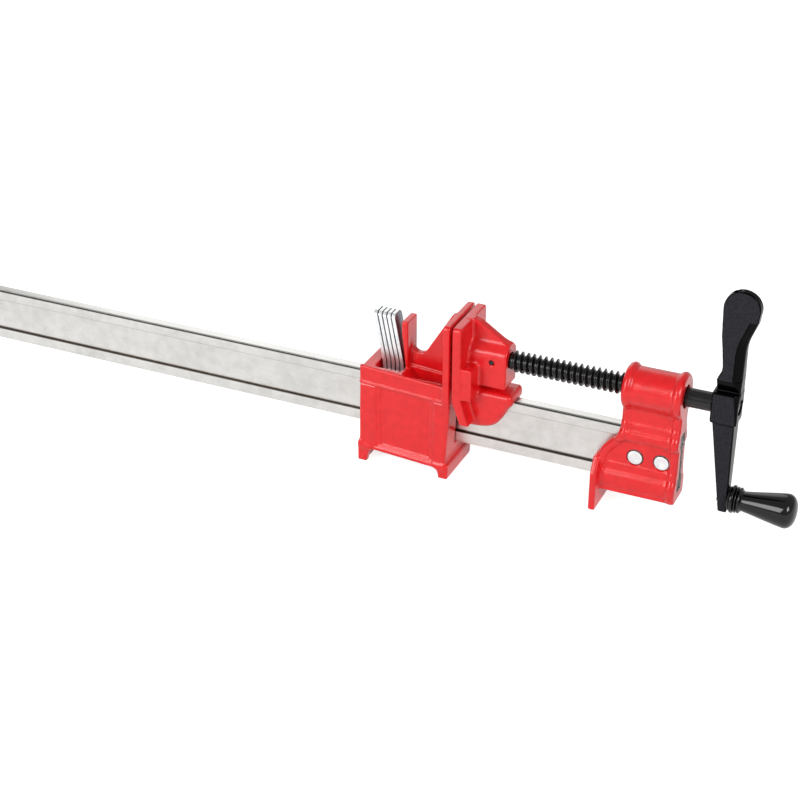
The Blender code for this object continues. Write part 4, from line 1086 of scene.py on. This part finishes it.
def jaw_foot(x, y, z, start, sweep, rise):
    """A foot under one end of the box, as wide as the skirt, whose inner side sweeps up to the underside on
    a curve. The sweep is positive for a foot at the left end."""
    end = start + foot_length
    if sweep > 0:
        sweep_shares = [(0.0, 0.0), (0.10, 0.30), (0.36, 0.62), (1.0, 1.0)]
        inner = smooth_line(spread(sweep_shares, (end, 0), (sweep, box_underside)))
        side = [(start, 0), *inner, (end + sweep, box_underside + foot_reach), (start + foot_reach, rise),
                (start, rise - foot_reach)]
    else:
        sweep_shares = [(1.0, 1.04), (0.45, 0.74), (0.14, 0.40), (0.0, 0.0)]
        inner = smooth_line(spread(sweep_shares, (start, 0), (sweep, rise)))
        side = [(end, 0), (end + foot_reach / 3, rise), (end, rise + foot_reach),
                (start + sweep, rise + foot_reach), *inner]
    return both(flat_shape(x, z, side), np.abs(y) - foot_half_width, box_mouth_edge)


def jaw_box(x, y, z):
    """The box with its two-step panels, the skirt round its foot, a bead over a groove along each side, and
    a foot under each end."""
    fall = box_fall(x)
    top, bottom = rail_top + box_top_rise - fall, box_underside - fall
    low_share = np.clip((rail_top - z) / (rail_top - box_underside), 0, 1)
    ends = slab(x, box_left - box_left_lean * low_share, box_right - box_lean * low_share)
    across = np.abs(y)
    shape = both(both(ends, across - box_half, box_edge), slab(z, bottom, top), box_edge)
    panel_low = bottom + box_ledge
    for inset, depth in [(0, box_panel_depth), (box_inner_stile, box_panel_depth + box_inner_depth)]:
        panel_ends = slab(x, box_left + box_stile + inset, box_right - box_stile - inset)
        panel_sides = slab(z, panel_low + inset / 2, panel_low + box_panel_rise)
        panel = both(panel_ends, panel_sides, box_panel_corner)
        panel = both(panel, box_half - depth - across, box_panel_edge)
        shape = without(shape, panel, box_panel_edge)
    skirt = both(ends, across - foot_half_width, box_edge)
    skirt = both(skirt, slab(z, bottom, bottom + skirt_rise), skirt_edge)
    shape = either(shape, skirt, skirt_edge)
    bead_height = rail_top - bead_drop_share * fall
    groove = np.hypot(across - box_half, z - bead_height + bead_groove_drop) - bead_groove_radius
    shape = without(shape, groove + 0 * x, box_panel_edge)
    bead = np.hypot(across - box_half + bead_sunk, z - bead_height) - bead_radius
    bead = both(bead, slab(x, box_left, box_right - box_edge), bead_radius / 2)
    shape = either(shape, bead, bead_radius / 4)
    left_foot = jaw_foot(x, y, z, box_left - foot_reach, foot_sweep, foot_rise)
    right_start = box_right - box_lean / 2 + slot_gap - foot_length
    right_foot = jaw_foot(x, y, z, right_start, -foot_sweep, right_foot_share * foot_rise)
    return either(either(shape, left_foot, foot_fillet), right_foot, foot_fillet)


def jaw_gusset(x, y, z):
    """The gusset from the horn to the jaw plate. Its upper edge falls from the plate along a straight slope
    to the round finger notch, which it touches, and follows that up to the horn."""
    steepness = math.atan(gusset_slope)
    touch = (notch_centre[0] + notch_radius * math.sin(steepness),
             notch_centre[1] - notch_radius * math.cos(steepness))
    slope_end = touch[0] + (gusset_top - touch[1]) / gusset_slope
    right = box_right - box_edge
    side = np.concatenate([
        [(mouth_right + gusset_edge, rail_top), (right, rail_top), (right, gusset_top)],
        [(slope_end, gusset_top)],
        arc(notch_centre, notch_radius, math.degrees(steepness) - 90, notch_end_degrees, 16),
        [(horn_right - gusset_edge, notch_centre[1] + notch_radius / 2)]])
    return both(flat_shape(x, z, side), np.abs(y) - gusset_half, gusset_edge)


def sliding_jaw_shape(x, y, z):
    """The box, hollow below and open above for the clutch plates, with its jaw plate, gusset and horn, then
    the rail's slot and the spring's bore. Between horn and jaw plate the deck falls into a well, all but the
    spine in its middle. The mouth is cut again after the horn's fillet, which swells into it."""
    shape = jaw_box(x, y, z)
    top = rail_top + box_top_rise - box_fall(x)
    deck_low = rail_top - box_deck
    cavity = block(x, y, z, (box_left + box_end_wall, box_wall - box_half, -box_underside),
                   (face_left - box_lean, box_half - box_wall, deck_low), mouth_corner)
    mouth = both(both(slab(x, mouth_left, mouth_right), np.abs(y) - mouth_half, mouth_corner),
                 deck_low - mouth_corner - z, box_mouth_edge)
    rim = rail_top + box_top_rise - box_fall(well_start)
    deck = np.interp(x, [well_start, well_start + well_step], [rim, well_floor])
    well = both(np.abs(y) - well_half, deck - z, well_corner)
    for cut in (cavity, well, mouth):
        shape = without(shape, cut, box_mouth_edge)
    spine = block(x, y, z, (mouth_right, -spine_half, rail_top),
                  (face_left + box_edge, spine_half, top + spine_rise), spine_edge)
    shape = either(shape, spine, box_edge)
    face_side = [(face_left, deck_low), (box_right, deck_low), (box_right, face_top), (face_left, face_top)]
    front = both(np.abs(y) - face_half, z - face_top, face_corner)
    face = both(flat_shape(x, z, face_side), front, box_edge)
    shape = both(either(shape, face, box_mouth_edge), x - box_right, box_edge)
    horn_side = [(mouth_right, deck_low), (horn_right, deck_low), (horn_right, horn_top),
                 (horn_left, horn_top), (horn_left, horn_kick), (mouth_right, rail_top + box_top_rise)]
    horn_sides = both(flat_shape(x, z, horn_side), z - horn_top, horn_edge)
    horn = both(horn_sides, np.abs(y) - horn_half, horn_edge)
    low_mouth = np.maximum(mouth, z - rail_top - box_top_rise)
    shape = without(either(shape, horn, horn_fillet), low_mouth, slot_gap)
    shape = either(shape, jaw_gusset(x, y, z), gusset_fillet)
    slot = both(np.abs(y) - rail_high.y - box_slot_gap,
                slab(z, rail_low.z - box_slot_gap, rail_top + box_slot_gap), box_panel_edge)
    seat = both(np.hypot(y, z - spring_middle) - spring_radius - slot_gap,
                slab(x, mouth_left, spring_high.x + slot_gap), slot_gap)
    return without(without(shape, slot + 0 * x, box_panel_edge), seat, slot_gap)


sliding_jaw = skin("moving_jaw", sliding_jaw_shape, (box_low, box_high), red_finish, box_step)
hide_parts("sliding_jaw")
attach(sliding_jaw, "sliding_jaw")


# Five clutch plates are stamped from steel strip and plated with bright zinc. Each hangs on the rail by its
# window and stands up out of the box. Its edges are tumbled round, and painted shade on the broad faces
# darkens the lines between the plates.

plate_edge = 0.0005
plate_merge = 0.00001
plate_flat_angle = math.radians(1)
plate_edge_angle = math.radians(20)
for number in range(1, 6):
    name = f"clutch_plate_{number}"
    solid = bmesh.new()
    solid.from_mesh(frame["nodes"][name].data)
    bmesh.ops.remove_doubles(solid, verts=solid.verts, dist=plate_merge)
    bmesh.ops.dissolve_limit(solid, angle_limit=plate_flat_angle, verts=solid.verts, edges=solid.edges)
    bmesh.ops.recalc_face_normals(solid, faces=solid.faces)
    sharp = [edge for edge in solid.edges if edge.calc_face_angle(0) > plate_edge_angle]
    bmesh.ops.bevel(solid, geom=sharp, offset=plate_edge, segments=3, profile=0.5, affect="EDGES",
                    clamp_overlap=True)
    bmesh.ops.triangulate(solid, faces=solid.faces)
    solid.verts.index_update()
    points = np.array([vert.co for vert in solid.verts])
    faces = [[vert.index for vert in face.verts] for face in solid.faces]
    solid.free()
    plate = new_piece(f"stamped_plate_{number}", points, faces, zinc_finish)
    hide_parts(name)
    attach(plate, f"plate_{number}")


# The clutch spring is wound from round spring wire, with its end coils closed. It sits in a bore of the
# casting, and the plates squash it when they tilt.

wire_radius = 0.0005
spring_turns = 7
wire_steps, wire_sides = 40, 10
closed_share = 0.09


def wound_spring():
    """Rings of a round wire along a helix about X. Its coils touch at the closed ends, and between them they
    stand evenly apart."""
    steps = np.linspace(0, 1, spring_turns * wire_steps + 1)
    angle = 2 * math.pi * spring_turns * steps
    run = spring_high.x - spring_low.x - 2 * wire_radius
    closed_run = 2 * wire_radius * spring_turns * closed_share
    along = spring_low.x + wire_radius + np.interp(
        steps, [0, closed_share, 1 - closed_share, 1], [0, closed_run, run - closed_run, run])
    coil = spring_radius - wire_radius
    outwards = np.stack([0 * angle, np.sin(angle), np.cos(angle)], axis=1)
    middle = np.stack([along, 0 * along, 0 * along + spring_middle], axis=1) + coil * outwards
    round_wire = np.linspace(0, 2 * math.pi, wire_sides, endpoint=False)[None, :, None]
    return middle[:, None] + wire_radius * (
        np.cos(round_wire) * outwards[:, None] + np.sin(round_wire) * np.array([1, 0, 0]))


spring = new_piece("wound_spring", *lofted(wound_spring()), zinc_finish)
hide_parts("clutch_spring")
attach(spring, "sliding_jaw")
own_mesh(spring)


# The camera, and a white sweep under a white surround that the bright pieces mirror. Three square soft
# lights stand round the clamp: one at the camera's left and about as high, one at its right and higher, and
# a weak one behind.

view_azimuth = math.radians(24.54)
view_rise = math.radians(29.12)
view_target = (-0.1820, 0.0, 0.0519)
view_distance = 1.5015
view_lens = 78.75
sensor = 36.0
floor_size = 12.0
lights = {
    "key_light": {"place": (-1.05, -1.55, 0.87), "target": (-0.05, 0, 0.05), "size": 1.0, "watts": 24.0},
    "fill_light": {"place": (1.45, -0.95, 1.05), "target": (0, 0, 0.05), "size": 0.8, "watts": 20.0},
    "back_light": {"place": (-0.95, 1.50, 1.05), "target": (-0.25, 0, 0.05), "size": 1.3, "watts": 6.0},
}


def placed(name, data, place, back):
    """A camera or lamp at a place, looking away from the direction that its back has."""
    made = new_object(name, data)
    made.location = place
    made.rotation_euler = back.to_track_quat("Z", "Y").to_euler()
    return made


lens = bpy.data.cameras.new("camera")
lens.lens = view_lens
lens.sensor_width = sensor
back = Vector((math.sin(view_azimuth) * math.cos(view_rise), -math.cos(view_azimuth) * math.cos(view_rise),
               math.sin(view_rise)))
camera = placed("camera", lens, Vector(view_target) + back * view_distance, back)
bpy.context.scene.camera = camera

for name, light in lights.items():
    lamp = bpy.data.lights.new(name, "AREA")
    lamp.shape = "SQUARE"
    lamp.size = light["size"]
    lamp.energy = light["watts"]
    placed(name, lamp, light["place"], Vector(light["place"]) - Vector(light["target"]))


def white_floor():
    """A plain white sweep: matt, and seen by the camera and by gloss as white but for the object's own
    shadow."""
    gloss_glow, camera_glow = 0.52, 0.78
    material, tree, shader, place = new_finish("white_sweep")
    path = add(tree, "LightPath")
    mirrored = add(tree, "Math", {0: path.outputs["Is Glossy Ray"], 1: gloss_glow}, operation="MULTIPLY")
    seen = add(tree, "Math", {0: path.outputs["Is Camera Ray"], 1: camera_glow, 2: mirrored},
               operation="MULTIPLY_ADD")
    glow = add(tree, "Emission", {"Color": linear("FFFFFF"), "Strength": seen})
    total = add(tree, "AddShader", {0: shader, 1: glow})
    give(tree, shader, {"Base Color": linear("D8D8D8"), "Roughness": 0.9})
    give(tree, tree.nodes["Material Output"], {"Surface": total})
    return material


half = floor_size / 2
floor_corners = [(-half, -half, 0), (half, -half, 0), (half, half, 0), (-half, half, 0)]
floor = new_piece("floor", floor_corners, [(0, 1, 2, 3)], white_floor())

surround_light, surround_gloss = 0.30, 0.20
world = bpy.data.worlds.new("white_surround")
world.use_nodes = True
bpy.context.scene.world = world
surround = world.node_tree
path = add(surround, "LightPath")
mirrored = add(surround, "Math", {0: path.outputs["Is Glossy Ray"], 1: surround_gloss, 2: surround_light},
               operation="MULTIPLY_ADD")
strength = add(surround, "Math", {0: path.outputs["Is Camera Ray"], 1: mirrored}, operation="MAXIMUM")
give(surround, surround.nodes["Background"], {"Color": linear("FFFFFF"), "Strength": strength})
bpy.context.scene.view_settings.view_transform = "Standard"
